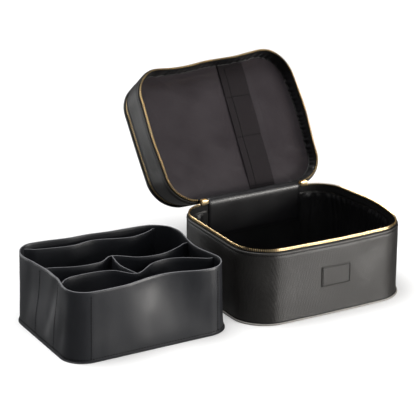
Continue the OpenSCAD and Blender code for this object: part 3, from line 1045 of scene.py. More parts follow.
HINGE_Y, RIM = JOINTS["lid_hinge"]["pos_m"][1:]
OPEN = math.radians(-min(JOINTS["lid_hinge"]["range_deg"]))
SKIN_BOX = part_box("case_skin")
CASE_PLAN = Plan(SKIN_BOX[1].x - SKIN_BOX[0].x, SKIN_BOX[1].y - SKIN_BOX[0].y, 0.046)
EDGE_DROP = 0.0062
BOARD_IN = 0.0028
ROW_IN = 0.0032
SLIDER_X = CASE_PLAN.half[0]
ROW_SKIP = SLIDER_X + 0.0065
STRIP_HALF = SLIDER_X - 0.007
ZIP_Z = 0.057
TAPER = 0.015
TAPER_START = 0.012
PANEL_Z = 0.025
COVER_Z = ZIP_Z + 0.0065
LID_EDGE = 0.0065
TOP_EDGE = ZIP_Z - 0.0047
OPEN_LID = (Matrix.Translation((0, HINGE_Y, RIM)) @ Matrix.Rotation(-OPEN, 4, "X")
            @ Matrix.Translation((0, -HINGE_Y, 0)))


def lid_plan(height: float) -> Plan:
    """The lid's outline at a height over the rim: its back leans in above the first finger's width."""
    return CASE_PLAN.leaning(TAPER * max(0.0, height - TAPER_START) / (ZIP_Z - TAPER_START))


CASE = Home("case", Softness((
    Swell(0.130, -0.008, 0.080, (0.0085, 0.0)),
    Swell(0.020, -0.108, 0.095, (0.0, -0.0030)),
    Swell(-0.112, -0.090, 0.050, (0.0030, 0.0040)),
), 0.0, RIM, 0.5, 1.0))
LID_SOFTNESS = Softness((
    Swell(0.130, -0.020, 0.085, (0.0060, 0.0)),
    Swell(0.112, -0.104, 0.075, (0.0030, -0.0060)),
    Swell(-0.050, -0.108, 0.055, (0.0, 0.0038)),
    Swell(-0.132, 0.000, 0.060, (-0.0020, 0.0)),
), 0.0, 0.0675, 1.0, 0.25)
LID = Home("lid", LID_SOFTNESS, OPEN_LID)
COVER = Home("cover", LID_SOFTNESS, OPEN_LID)
STILL = Softness((), 0.0, 1.0, 0.0, 0.0)


@dataclass
class CaseBody:
    """The lower case: leather walls, piping, lining, zip and the blank patch."""

    home: Home = CASE
    plan: Plan = CASE_PLAN
    base: float = 0.0012
    lining: float = 0.0006
    floor: float = 0.0032
    piping: float = 0.0012
    patch: tuple[float, float, float] = (0.047, 0.030, 0.0014)
    patch_place: tuple[float, float] = (0.005, 0.057)

    @property
    def wall_top(self) -> float:
        """Height of the leather's turned edge under the rim."""
        return RIM - EDGE_DROP

    def build(self) -> None:
        """Builds the case's pieces in order."""
        self.build_walls()
        self.build_underside()
        self.build_lining()
        self.build_floor()
        self.build_patch()
        board = bpy.data.objects["base_board"]
        board.data.materials.clear()
        board.data.materials.append(BOARD.material())
        ZipSide("case_zip", self.home, self.plan.inset(ROW_IN), RIM, -1, ROW_SKIP, 0.0105,
                "case_zip_tape", "case_zip_row").build()

    def build_walls(self) -> None:
        """The leather wall with its edge turned in at the top, and the stitches under it."""
        top, plan = self.wall_top, self.plan
        outside = [(z, plan) for z in (0.0012, 0.006, 0.016, 0.030, 0.045, 0.060, 0.075, 0.088, 0.096)]
        rolled = plan.levels((top - 0.0050, 0), (top - 0.0038, 0.00035), (top - 0.0026, 0),
                             (top - 0.0008, 0.0001), (top, 0.0006), (top + 0.0002, 0.0013), (top, 0.0021),
                             (top - 0.0010, 0.0026))
        inside = plan.levels((0.08, 0.0026), (0.04, 0.0026), (0.0012, 0.0026))
        piece = collar("case_leather_wall", outside + rolled + inside, Cuts(14, 22, 16))
        shape(piece, lambda p: p + self.hand_made(p))
        self.home.take(shade(piece, 50), LEATHER, "case_skin", "case_board")
        seam("case_rim_stitches", self.home, plan.inset(0.0002).places(0.0040, top - 0.0038))

    def hand_made(self, point: Vector) -> Vector:
        """Slight unevenness of the walls, least at the piping and the turned edge."""
        out = self.plan.outward(point.x, point.y)
        share = smoothstep(point.z / 0.02) * smoothstep((self.wall_top - point.z) / 0.02)
        return Vector((*out, 0)) * unevenness(point, 0.045, 0.0009) * share

    def build_underside(self) -> None:
        """The leather under the case, and the piping sewn in round it."""
        plan = self.plan.inset(0.0006)
        piece = slab("case_underside", plan.levels((0, 0.0004), (0.0004, 0), (self.base, 0)))
        self.home.take(shade(piece, 30), LEATHER, "base_panel")
        line = line_of(self.plan.inset(-self.piping - 0.00005), self.piping + 0.0003)
        self.home.take(tube("case_piping", line, self.piping, closed=True), PIPING, "base_piping")
        lip = collar("piping_flange", self.plan.levels(
            (0.0020, 0), (0.0034, -0.0006), (0.0046, -0.0001), (0.0046, 0.0008), (0.0020, 0.0008)))
        self.home.take(shade(lip, 60), TRIM)

    def build_lining(self) -> None:
        """The satin lining, gathered under the tape and at the floor, with a plain band at the top."""
        low, high = self.floor + 0.0006, self.wall_top - 0.0108
        plan = self.plan.inset(BOARD_IN)
        levels = [(low + (high - low) * t, plan) for t in
                  (0, 0.03, 0.07, 0.13, 0.2, 0.28, 0.37, 0.46, 0.55, 0.64, 0.72, 0.8, 0.87, 0.92, 0.96,
                   0.985, 1)]
        piece = wall("case_satin_lining", levels, Cuts(36, 84, 60))

        def gathered(point: Vector) -> Vector:
            """Draws each fold inwards, most just under the band."""
            out = plan.outward(point.x, point.y)
            s = plan.way_round(point)
            t = (point.z - low) / (high - low)
            pinched = smoothstep((1 - t) / 0.05) * smoothstep(t / 0.03)
            fine = gathers(s + 0.012 * noise.noise((s * 30, t * 2.0, 4.0)), 0.0115, 1.0)
            broad = gathers(s, 0.031, 5.0)
            depth = pinched * (0.0030 * fine * (0.25 + 0.75 * t * t) + 0.0030 * broad * (1 - 0.5 * t))
            if point.y > 0.09:
                depth *= smoothstep((abs(point.x) - STRIP_HALF - 0.003) / 0.012)
            return point - Vector((*out, 0)) * (depth + 0.0003)

        shape(piece, gathered)
        thicken(piece, self.lining)
        self.home.take(shade(piece, 80), BLACK_SATIN, "case_lining")
        plan.length * 1.12

    def build_floor(self) -> None:
        """The lightly padded satin floor."""
        plan = self.plan.inset(BOARD_IN + 0.0008)
        swell = self.floor + 0.0022
        rings = plan.levels((self.floor, 0), (self.floor + 0.0012, -0.0002), (swell, 0.0012),
                            (self.floor + 0.0027, 0.006))
        piece = slab("case_satin_floor", rings, Cuts(10, 20, 16), under=(0.008, 0.012), over=(0.008, 0.012))
        shape(piece, lambda p: p + UP * max(0.0, unevenness(p, 0.03, 0.0012)) if p.z > swell else p)
        self.home.take(shade(piece, 60), BLACK_SATIN, "lining_floor")

    def build_patch(self) -> None:
        """The blank leather patch on the front, with its stitches."""
        (width, height, thickness), (x, z) = self.patch, self.patch_place
        plan = Plan(width, height, 0.002)
        piece = slab("blank_patch", plan.levels(
            (0, 0), (thickness * 0.6, 0), (thickness * 0.9, 0.0003), (thickness, 0.0009),
            (thickness * 0.80, 0.0016), (thickness * 0.98, 0.0026), (thickness, 0.0032),
            (thickness, 0.0060)), Cuts(4, 14, 8))
        stand = (Matrix.Translation((x, -self.plan.depth / 2 + 0.0002, z))
                 @ Matrix.Rotation(math.pi / 2, 4, "X"))
        piece.data.transform(stand)
        self.home.take(shade(piece, 40), LEATHER, "monogram_patch")
        places = [stand @ place for place in plan.inset(0.0017).flat_places(0.0038, thickness * 0.92)]
        seam("patch_stitches", self.home, places)


@dataclass
class Lid:
    """The lid between its two zips: leather band, satin panel with its piping, and the brush strap."""

    home: Home = LID
    panel_t: float = 0.002
    piping: float = 0.0011
    strap_width: float = 0.042
    strap_thickness: float = 0.0012
    strap_front: float = 0.043
    strap_back: float = 0.031

    def build(self) -> None:
        """Builds the lid's pieces in order."""
        self.build_band()
        self.build_gusset()
        self.build_panel()
        self.build_strap()
        tape = TAPE.turned(OPEN)
        ZipSide("lid_zip", self.home, CASE_PLAN.inset(ROW_IN), 0.0, 1, ROW_SKIP, 0.0078,
                "lid_zip_tape", "lid_zip_row", tape).build()
        ZipSide("top_zip_lower", self.home, lid_plan(ZIP_Z).inset(ROW_IN), ZIP_Z, -1, ROW_SKIP, 0.0105,
                "top_zip_lower_tape", "top_zip_lower_row", tape).build()

    def build_band(self) -> None:
        """The leather band, both its edges turned in and pressed by a row of stitches."""
        low, high = LID_EDGE, TOP_EDGE

        def at(height: float, inset: float = 0.0) -> tuple[float, Plan]:
            """One level of the band's cross-section."""
            return height, lid_plan(height).inset(inset)

        levels = [at(low + 0.0012, 0.0026), at(low, 0.0021), at(low - 0.0002, 0.0013), at(low, 0.0006),
                  at(low + 0.0008, 0.0001), at(low + 0.0026), at(low + 0.0038, 0.0004), at(low + 0.0050),
                  *[at(z) for z in (0.0155, 0.022, 0.029, 0.036, 0.042)],
                  at(high - 0.0050), at(high - 0.0038, 0.0004), at(high - 0.0026), at(high - 0.0008, 0.0001),
                  at(high, 0.0006), at(high + 0.0002, 0.0013), at(high, 0.0021), at(high - 0.0012, 0.0026),
                  at(0.036, 0.0026), at(0.020, 0.0026)]
        piece = collar("lid_leather_band", levels, Cuts(14, 22, 16))

        def hand_made(point: Vector) -> Vector:
            """Slight unevenness between the two edges."""
            out = CASE_PLAN.outward(point.x, point.y)
            share = smoothstep((point.z - low) / 0.015) * smoothstep((high - point.z) / 0.015)
            return point + Vector((*out, 0)) * unevenness(point + Vector((1, 2, 3)), 0.04, 0.0010) * share

        shape(piece, hand_made)
        self.home.take(shade(piece, 50), LEATHER, "lid_skin", "lid_board")
        for name, height in (("lid_rim_stitches", low + 0.0038), ("lid_top_stitches", high - 0.0038)):
            seam(name, self.home, lid_plan(height).inset(0.0002).places(0.0040, height))

    def build_gusset(self) -> None:
        """The gathered satin between the tape and the panel."""
        low, high = 0.0116, PANEL_Z - 0.0002
        plan = CASE_PLAN.inset(BOARD_IN + 0.0004)
        levels = [(low + (high - low) * t, plan.leaning(0.0048 * t)) for t in
                  (0, 0.06, 0.14, 0.26, 0.4, 0.55, 0.7, 0.83, 0.93, 1)]
        piece = wall("lid_satin_gusset", levels, Cuts(34, 80, 60))

        def gathered(point: Vector) -> Vector:
            """Draws the folds inwards, between the tape and the piping."""
            out = plan.outward(point.x, point.y)
            s = plan.way_round(point)
            t = (point.z - low) / (high - low)
            fold = gathers(s + 0.004 * t, 0.0085, 11.0)
            depth = 0.0022 * fold * smoothstep(t / 0.15) + 0.0014 * t
            return point - Vector((*out, 0)) * depth

        shape(piece, gathered)
        thicken(piece, 0.0005)
        self.home.take(shade(piece, 80), BLACK_SATIN, "lid_gusset_lining")
        plan.length * 1.15

    @property
    def panel_plan(self) -> Plan:
        """Outline of the satin panel."""
        return CASE_PLAN.inset(BOARD_IN + 0.0012).leaning(0.0050)

    def strap_middle(self, y: float) -> float:
        """Sideways place of the strap's middle, which runs a little askew."""
        t = (y + CASE_PLAN.depth / 2) / CASE_PLAN.depth
        return self.strap_front + (self.strap_back - self.strap_front) * t

    @staticmethod
    def strap_lift(t: float) -> float:
        """How far the strap stands off the panel, at a share of the way between two stitch rows."""
        return 0.0016 * math.sin(math.pi * t) ** 0.7

    def under_strap(self, point: Vector) -> float:
        """1 where the strap presses the panel flat, 0 well beside it."""
        away = abs(point.x - self.strap_middle(point.y)) - self.strap_width / 2
        return 1 - smoothstep(away / 0.012)

    def build_panel(self) -> None:
        """The padded satin panel, which swells and creases between the seams that hold it, and its piping."""
        plan = self.panel_plan

        def spread(point: Vector) -> Vector:
            """Spreads the square cloth over the rounded outline."""
            x, y = point.x * 2, point.y * 2
            far = max(abs(x), abs(y), 1e-6)
            square = Vector((x / far * plan.width / 2, y / far * plan.depth / 2))
            hx, hy = plan.half
            over = Vector((max(abs(square.x) - hx, 0), max(abs(square.y) - hy, 0)))
            if over.length > plan.corner:
                over *= plan.corner / over.length
                square = Vector((math.copysign(hx + over.x, x), math.copysign(hy + over.y, y)))
            plain = Vector((x * plan.width / 2, y * plan.depth / 2))
            place = plain.lerp(square * far, smoothstep((far - 0.55) / 0.4))
            return Vector((plan.x + place.x, plan.y + place.y, PANEL_Z))

        piece = sheet_of("lid_satin_panel", 68, 56, spread)

        def held(point: Vector) -> float:
            """Held at the edge, and at the ends and stitch rows of the strap."""
            out = plan.outward(point.x, point.y)
            past = (abs(point.x - plan.x + out.x * 0.0035) - plan.half[0],
                    abs(point.y - plan.y + out.y * 0.0035) - plan.half[1])
            beyond = math.hypot(*past) if min(past) > 0 else max(past)
            if beyond >= plan.corner:
                return 1.0
            return 0.85 * self.under_strap(point)

        face_down(piece)
        relax(piece, held, growth=0.035, pressure=0.35, cap=0.0032)

        def creased(point: Vector) -> Vector:
            """Adds the puckers along the seams and the broad wrinkles between them."""
            s = plan.way_round(point)
            edge = plan.from_edge(point)
            rim = smoothstep(edge / 0.003) * (1 - smoothstep(edge / 0.028))
            pucker = gathers(s, 0.014, 21.0) * 0.0009 * rim
            slant = Vector(((point.x + 0.6 * point.y) / 0.055, (point.y - 0.6 * point.x) / 0.022, 2.0))
            broad = 0.0006 * noise.noise(slant) * smoothstep(edge / 0.02) * (1 - 0.8 * self.under_strap(point))
            crown = 0.0012 * smoothstep(edge / 0.03) * (1 - self.under_strap(point))
            return point - Vector((0, 0, pucker + broad + crown))

        shape(piece, creased)
        thicken(piece, self.panel_t)
        subdivide(piece)
        self.home.take(shade(piece, 80), MAUVE_SATIN, "lid_panel")
        edge = plan.inset(self.piping + 0.0002)
        line = line_of(edge, PANEL_Z - self.piping)
        self.home.take(tube("lid_panel_cord", line, self.piping, closed=True), TRIM, "lid_panel_piping")

    def build_strap(self) -> None:
        """The elastic strap, sewn down across in four places, with a seam along it."""
        depth = CASE_PLAN.depth
        front, back = -depth / 2 + 0.0066, depth / 2 - 0.0050 - 0.0066
        rows = (front + 0.004, front + 0.052, front + 0.116, back - 0.004)

        def laid(point: Vector) -> Vector:
            """Lays the strap along the panel, loose between its stitch rows."""
            y = front + (point.y + 0.5) * (back - front)
            x = self.strap_middle(y) + point.x * self.strap_width
            lift = 0.0
            for start, end in pairwise(rows):
                if start < y < end:
                    lift = self.strap_lift((y - start) / (end - start))
            lift *= 1 - 0.5 * abs(point.x * 2) ** 3
            return Vector((x, y, PANEL_Z - 0.0008 - lift))

        piece = sheet_of("brush_band", 16, 72, laid)
        face_down(piece)
        thicken(piece, self.strap_thickness, offset=1.0)
        round_edges(piece, 0.0003, 2, 50)
        self.home.take(shade(piece, 60), ELASTIC.turned(OPEN), "brush_strap")
        places: list[Matrix] = []
        for y in rows:
            middle = self.strap_middle(y)
            ends = [Vector((middle + w * self.strap_width / 2 * 0.96, y, PANEL_Z - 0.0021)) for w in (-1, 1)]
            places += seam_line(*ends, -UP, 0.0036)
        parts = 6
        for start, end in pairwise(rows):
            line = []
            for k in range(parts + 1):
                y = start + (end - start) * k / parts
                lift = self.strap_lift(k / parts) if 0 < k < parts else 0.0
                line.append(Vector((self.strap_middle(y) - self.strap_width / 4, y, PANEL_Z - 0.0021 - lift)))
            for here, there in pairwise(line):
                places += seam_line(here, there, -UP, 0.0036)
        seam("brush_band_stitches", self.home, places)


@dataclass
class Cover:
    """The padded cover of the top compartment, with its zip side and the tabs for the handle."""

    home: Home = COVER
    seat: float = COVER_Z + 0.0016
    top: float = COVER_Z + 0.0040
    tab_width: float = 0.014
    span: float = 0.120

    def build(self) -> None:
        """Builds the cover's pieces in order."""
        self.build_band()
        self.build_pad()
        self.build_tabs()
        ZipSide("top_zip_upper", self.home, lid_plan(ZIP_Z).inset(ROW_IN), ZIP_Z, 1, ROW_SKIP, 0.0040,
                "top_zip_upper_tape", "top_zip_upper_row", TAPE.turned(OPEN)).build()

    def build_band(self) -> None:
        """The turned leather edge of the cover."""
        plan = lid_plan(ZIP_Z)
        low, high = COVER_Z - 0.0006, self.seat + 0.0003
        piece = collar("cover_leather_edge", plan.levels(
            (low + 0.0010, 0.0026), (low, 0.0020), (low - 0.0002, 0.0013), (low + 0.0001, 0.0006),
            (low + 0.0008, 0), (high, 0), (high, 0.0026)), Cuts(14, 20, 16))
        self.home.take(shade(piece, 45), LEATHER, "cover_band")

    def build_pad(self) -> None:
        """The padded leather panel with a pressed, stitched margin, and the satin under it."""
        plan = lid_plan(ZIP_Z).inset(0.0002)
        low, high = self.seat, self.top
        rings = plan.levels((low, 0), (high - 0.0012, 0), (high - 0.0004, 0.0004), (high, 0.0012),
                            (high - 0.0001, 0.0030), (high - 0.0006, 0.0040), (high - 0.0001, 0.0050))
        piece = slab("cover_padded_panel", rings, Cuts(12, 26, 20), under=(0.02,),
                     over=(0.004, 0.006, 0.008, 0.010))

        def crowned(point: Vector) -> Vector:
            """Raises the padding inside the margin."""
            if point.z < high - 0.0008:
                return point
            inside = plan.from_edge(point) - 0.004
            crown = 0.0007 * smoothstep(inside / 0.03)
            return point + UP * (crown + unevenness(point, 0.05, 0.0003) * smoothstep(inside / 0.02))

        shape(piece, crowned)
        self.home.take(shade(piece, 50), LEATHER, "cover_panel")
        seam("cover_stitches", self.home, plan.inset(0.0040).flat_places(0.0040, high - 0.0001))
        inner = lid_plan(ZIP_Z).inset(BOARD_IN + 0.0010)
        lining = slab("cover_satin_lining", inner.levels((low - 0.0009, 0.0006), (low - 0.0005, 0), (low, 0)))
        self.home.take(shade(lining, 60), BLACK_SATIN, "cover_lining")

    def build_tabs(self) -> None:
        """The two leather tabs, each folded round a tunnel and sewn down."""
        width, bar = self.tab_width, HANDLE_Z
        places: list[Matrix] = []
        tabs = []
        for side in (-1, 1):
            x = side * self.span / 2
            path = [(-0.022, self.top + 0.0010)]
            path += [(-0.022 + 0.0185 * t, self.top + 0.0010 + 0.0002 * t) for t in (0.35, 0.7)]
            for k in range(11):
                turn = math.radians(215 - 25 * k)
                path.append((math.cos(turn) * 0.00245, bar + math.sin(turn) * 0.00245))
            path += [(0.0048, self.top + 0.0010), (0.0084, self.top + 0.0010)]
            tabs.append(ribbon("tab", [Vector((0, y, z)) for y, z in path], width, 0.0013, x))
            side_seam, front, high = width / 2 - 0.0018, -0.0205, self.top + 0.0019
            for edge in (-1, 1):
                places += seam_line(Vector((x + edge * side_seam, -0.021, high)),
                                    Vector((x + edge * side_seam, -0.006, self.top + 0.0021)), UP, 0.0034)
            places += seam_line(Vector((x - width / 2 + 0.002, front, high)),
                                Vector((x + width / 2 - 0.002, front, high)), UP, 0.0034)
        piece = joined("handle_leather_tabs", tabs)
        self.home.take(shade(round_edges(piece, 0.0003, 2, 60), 45), LEATHER, "handle_tabs")
        seam("handle_tab_stitches", self.home, places)


def ribbon(name: str, path: Sequence[Vector], width: float, thickness: float, x: float = 0.0,
           cuts: int = 3) -> Piece:
    """A flat band that follows a line seen from the side, as wide as it is told along X.

    Args:
        name: Name of the piece.
        path: The line, with Y and Z.
        width: The band's width along X.
        thickness: Its thickness, half to each side of the line.
        x: Sideways place of its middle.
        cuts: How often it is cut across its width.

    Returns:
        The closed band.
    """
    clear_selection()
    bpy.ops.mesh.primitive_plane_add(size=1.0)
    piece = started(name)
    with editing(piece):
        choose(piece, "verts", lambda vertex: vertex.co.y > 0)
        bpy.ops.mesh.delete(type="VERT")
        mesh = bmesh.from_edit_mesh(piece.data)
        for vertex in mesh.verts:
            vertex.co = Vector((x + math.copysign(width / 2, vertex.co.x), path[0].y, path[0].z))
            vertex.select_set(True)
        bmesh.update_edit_mesh(piece.data)
        bpy.ops.mesh.select_all(action="SELECT")
        bpy.ops.mesh.subdivide(number_cuts=cuts)
        bpy.ops.mesh.select_all(action="SELECT")
        for here, there in pairwise(path):
            push(there - here)
    thicken(piece, thickness, offset=0.0)
    return face_outwards(piece)


HANDLE_Z = COVER_Z + 0.0040 + 0.0031 + 0.0004


@dataclass
class Handle:
    """The rolled carry handle that hangs from two brass rings."""

    span: float = 0.120
    drop: float = 0.034
    radius: float = 0.0045
    bend: float = 0.014
    ring: float = 0.009
    wire: float = 0.0013

    @property
    def home(self) -> Home:
        """The handle hangs straight down, whichever way the cover stands."""
        bar = OPEN_LID @ Vector((0, 0, HANDLE_Z))
        return Home("handle", STILL, Matrix.Translation(bar))

    def build(self) -> None:
        """Builds the rings, the grip and its seam."""
        rings = []
        for side in (-1, 1):
            x = side * self.span / 2
            bow = [Vector((x + self.ring * math.cos(a), 0, self.ring * math.sin(a)))
                   for a in (math.pi + math.pi * k / 20 for k in range(21))]
            bar = [Vector((x + self.ring * (1 - k / 4), 0, 0)) for k in range(1, 8)]
            rings.append(tube("ring", bow + bar, self.wire, closed=True))
        self.home.take(joined("handle_brass_rings", rings), BRASS, "handle_rings", soft=False)
        line = self.line()
        grip = tube("handle_rolled_grip", line, self.radius,
                    radii=lambda t: 0.62 + 0.38 * smoothstep(min(t, 1 - t) / 0.09))
        loops = [self.loop(side) for side in (-1, 1)]
        piece = joined("handle_rolled_grip", [grip, *loops])
        self.home.take(shade(piece, 55), LEATHER, "handle_grip", soft=False)
        places: list[Matrix] = []
        for here, there in pairwise(line[3:-3]):
            middle = (here + there) / 2
            along = (there - here).normalized()
            back = Vector((0, 1, 0))
            rows = Matrix((along, back, along.cross(back))).transposed().to_4x4()
            places.append(Matrix.Translation(middle + back * self.radius * 0.99) @ rows)
        seam("handle_stitches", self.home, places, soft=False)

    def line(self) -> list[Vector]:
        """The grip's middle line, from ring to ring."""
        half, leg = self.span / 2, self.drop - self.bend
        points = [Vector((-half, 0, -leg + 0.0065 * (1 - k / 3))) for k in range(4)]
        points += [Vector((-half + self.bend * (1 - math.cos(a)), 0, -leg - self.bend * math.sin(a)))
                   for a in (math.pi / 2 * k / 8 for k in range(1, 9))]
        count = 24
        straight = half - self.bend
        points += [Vector((-straight + 2 * straight * k / count, 0, -self.drop)) for k in range(1, count)]
        return points + [Vector((-p.x, p.y, p.z)) for p in reversed(points[:12])]

    def loop(self, side: int) -> Piece:
        """The folded end of the grip, which goes round a ring."""
        x, middle = side * self.span / 2, -self.ring
        path = [Vector((0, -0.0012, middle - 0.0075)), Vector((0, -0.0020, middle - 0.0040))]
        for k in range(9):
            turn = math.radians(205 - 25 * k)
            path.append(Vector((0, math.cos(turn) * 0.0025, middle + math.sin(turn) * 0.0025)))
        path += [Vector((0, 0.0020, middle - 0.0040)), Vector((0, 0.0012, middle - 0.0075))]
        return round_edges(ribbon("loop", path, 0.010, 0.0012, x), 0.0003, 2, 60)


INSERT_PLACE = Vector((-0.272, 0.002, 0.0))


@dataclass
class Hinges:
    """The soft hinges: the leather strip and the satin flap of the lid, and the strip of the cover."""

    half: float = STRIP_HALF

    def build(self) -> None:
        """Builds the three strips."""
        outside = [(108.2, 101.0), (108.25, 104.0), (108.3, 106.0), (108.4, 108.0), (108.5, 109.2),
                   (109.0, 110.6), (110.2, 110.4), (111.6, 109.3), (113.6, 107.6), (115.6, 105.9),
                   (117.5, 104.4)]
        self.strip("hinge_leather_strip", outside, self.half, 0.0011, LEATHER,
                   "hinge_strip")
        inside = [(103.5, 55.0), (103.5, 68.0), (103.5, 80.0), (103.5, 90.0), (103.4, 97.0), (103.3, 102.0),
                  (103.5, 107.0), (104.3, 109.8), (105.6, 112.0), (107.2, 113.3), (109.2, 113.6),
                  (111.2, 113.1), (113.4, 111.9), (116.0, 109.8), (119.0, 107.4), (122.0, 105.1)]
        self.strip("hinge_satin_flap", inside, self.half, 0.0008, HINGE_SATIN,
                   "hinge_flap", wrinkle=0.0005)
        shut = [OPEN_LID @ Vector((0, 0.0925, z))
                for z in (0.0500, 0.0523, 0.0550, 0.0576, 0.0603, 0.0629, 0.0645)]
        self.strip("cover_hinge_leather", [(p.y / MM, p.z / MM) for p in shut], self.half, 0.0011, LEATHER,
                   "cover_hinge_strip")

    def strip(self, name: str, line: Sequence[tuple[float, float]], half: float, thickness: float,
              finish: Finish, node: str,
              wrinkle: float = 0.0) -> None:
        """One strip between two bodies, modelled as it lies with the lid open; it rides on neither.

        Args:
            name: Name of the piece.
            line: Its line seen from the side, in millimetres.
            half: Half its width.
            thickness: Its thickness.
            finish: Its finish.
            node: The CAD node it stands for.
            wrinkle: Depth of its wrinkles.
        """
        points = [Vector((0, y * MM, z * MM)) for y, z in line]
        fine = [a.lerp(b, t / 2) for a, b in pairwise(points) for t in (0, 1)] + [points[-1]]
        piece = ribbon(name, fine, 2 * half, thickness, cuts=31)
        if wrinkle:
            shape(piece, lambda p: p + Vector((0, 0.4, 1)).normalized() * wrinkle * (
                noise.noise((p.x / 0.019, p.z / 0.02, 3.0)) + noise.noise((p.x / 0.050, p.y / 0.03, 5.0)))
                * smoothstep((p.z - 0.106) / 0.005))
        round_edges(piece, thickness * 0.25, 1, 60)
        Home.dress(shade(piece, 60), finish, node)
        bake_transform(piece)


@dataclass
class Mirror:
    """The mirror in its leather frame, and the pocket it slides into."""

    width: float = 0.110
    length: float = 0.090
    thickness: float = 0.007
    border: float = 0.007
    glass: float = 0.0016
    out: float = 0.020
    pocket_z: float = 0.027
    gap: float = 0.0008
    satin: float = 0.0008

    def build(self) -> None:
        """Builds the pocket, the frame and the glass."""
        self.build_pocket()
        self.build_frame()

    def build_pocket(self) -> None:
        """A satin sleeve, open towards the hinge, hemmed at its mouth."""
        front = -self.length / 2 + self.out
        inner = Vector((self.width + 2 * self.gap, self.length - self.out + self.gap,
                        self.thickness + self.gap))
        clear_selection()
        bpy.ops.mesh.primitive_cube_add(size=1.0)
        piece = started("mirror_satin_pocket")
        with editing(piece, "FACE"):
            bpy.ops.transform.resize(value=(inner.x + self.satin, inner.y + self.satin, inner.z))
            bpy.ops.transform.translate(value=(0, front + (inner.y + self.satin) / 2,
                                               self.pocket_z + inner.z / 2))
            bpy.ops.mesh.subdivide(number_cuts=11)
            choose(piece, "faces", lambda face: face.normal.y < -0.5)
            bpy.ops.mesh.delete(type="FACE")
        middle = self.pocket_z + 0.004
        shape(piece, lambda p: p + UP * unevenness(p, 0.02, 0.0004) if p.z > middle else p)
        thicken(piece, self.satin, offset=0.0)
        LID.take(shade(face_outwards(piece), 50), BLACK_SATIN, "mirror_pocket", soft=False)
        reach, edge, top = inner.x / 2 - 0.002, front + 0.004, self.pocket_z + inner.z + self.satin
        row = seam_line(Vector((-reach, edge, top)), Vector((reach, edge, top)), UP, 0.0036)
        seam("mirror_pocket_stitches", LID, row, soft=False)

    def build_frame(self) -> None:
        """The rounded leather frame with the glass let into it."""
        home = Home("mirror", STILL, OPEN_LID)
        low = self.pocket_z + self.gap / 2
        high = low + self.thickness
        plan = Plan(self.width, self.length, 0.008)
        hole = Plan(self.width - 2 * self.border, self.length - 2 * self.border, 0.004)
        cuts = Cuts(8, 12, 10)
        levels = [(low, hole), *plan.levels((low, 0.0014), (low + 0.0004, 0.0004), (low + 0.0014, 0),
                                            (high - 0.0014, 0), (high - 0.0004, 0.0004), (high, 0.0014)),
                  *hole.levels((high - 0.0002, -0.0012), (high - 0.0009, 0))]
        piece = collar("mirror_leather_frame", levels, cuts)
        floor = slab("mirror_back", hole.levels((low + 0.0002, -0.0002),
                                                (high - self.glass - 0.0001, -0.0002)), cuts)
        piece = joined("mirror_leather_frame", [piece, floor])
        home.take(shade(piece, 45), LEATHER, "mirror_frame", soft=False)
        seam("mirror_frame_stitches", home, plan.inset(0.0030).flat_places(0.0036, high), soft=False)
        pane = slab("mirror_glass_pane", hole.levels((high - self.glass, 0.0001), (high - 0.0009, 0.0001),
                                                     (high - 0.0006, 0.0012)), Cuts(8, 2, 2))
        home.take(shade(pane, 20), GLASS, "mirror_glass", soft=False)


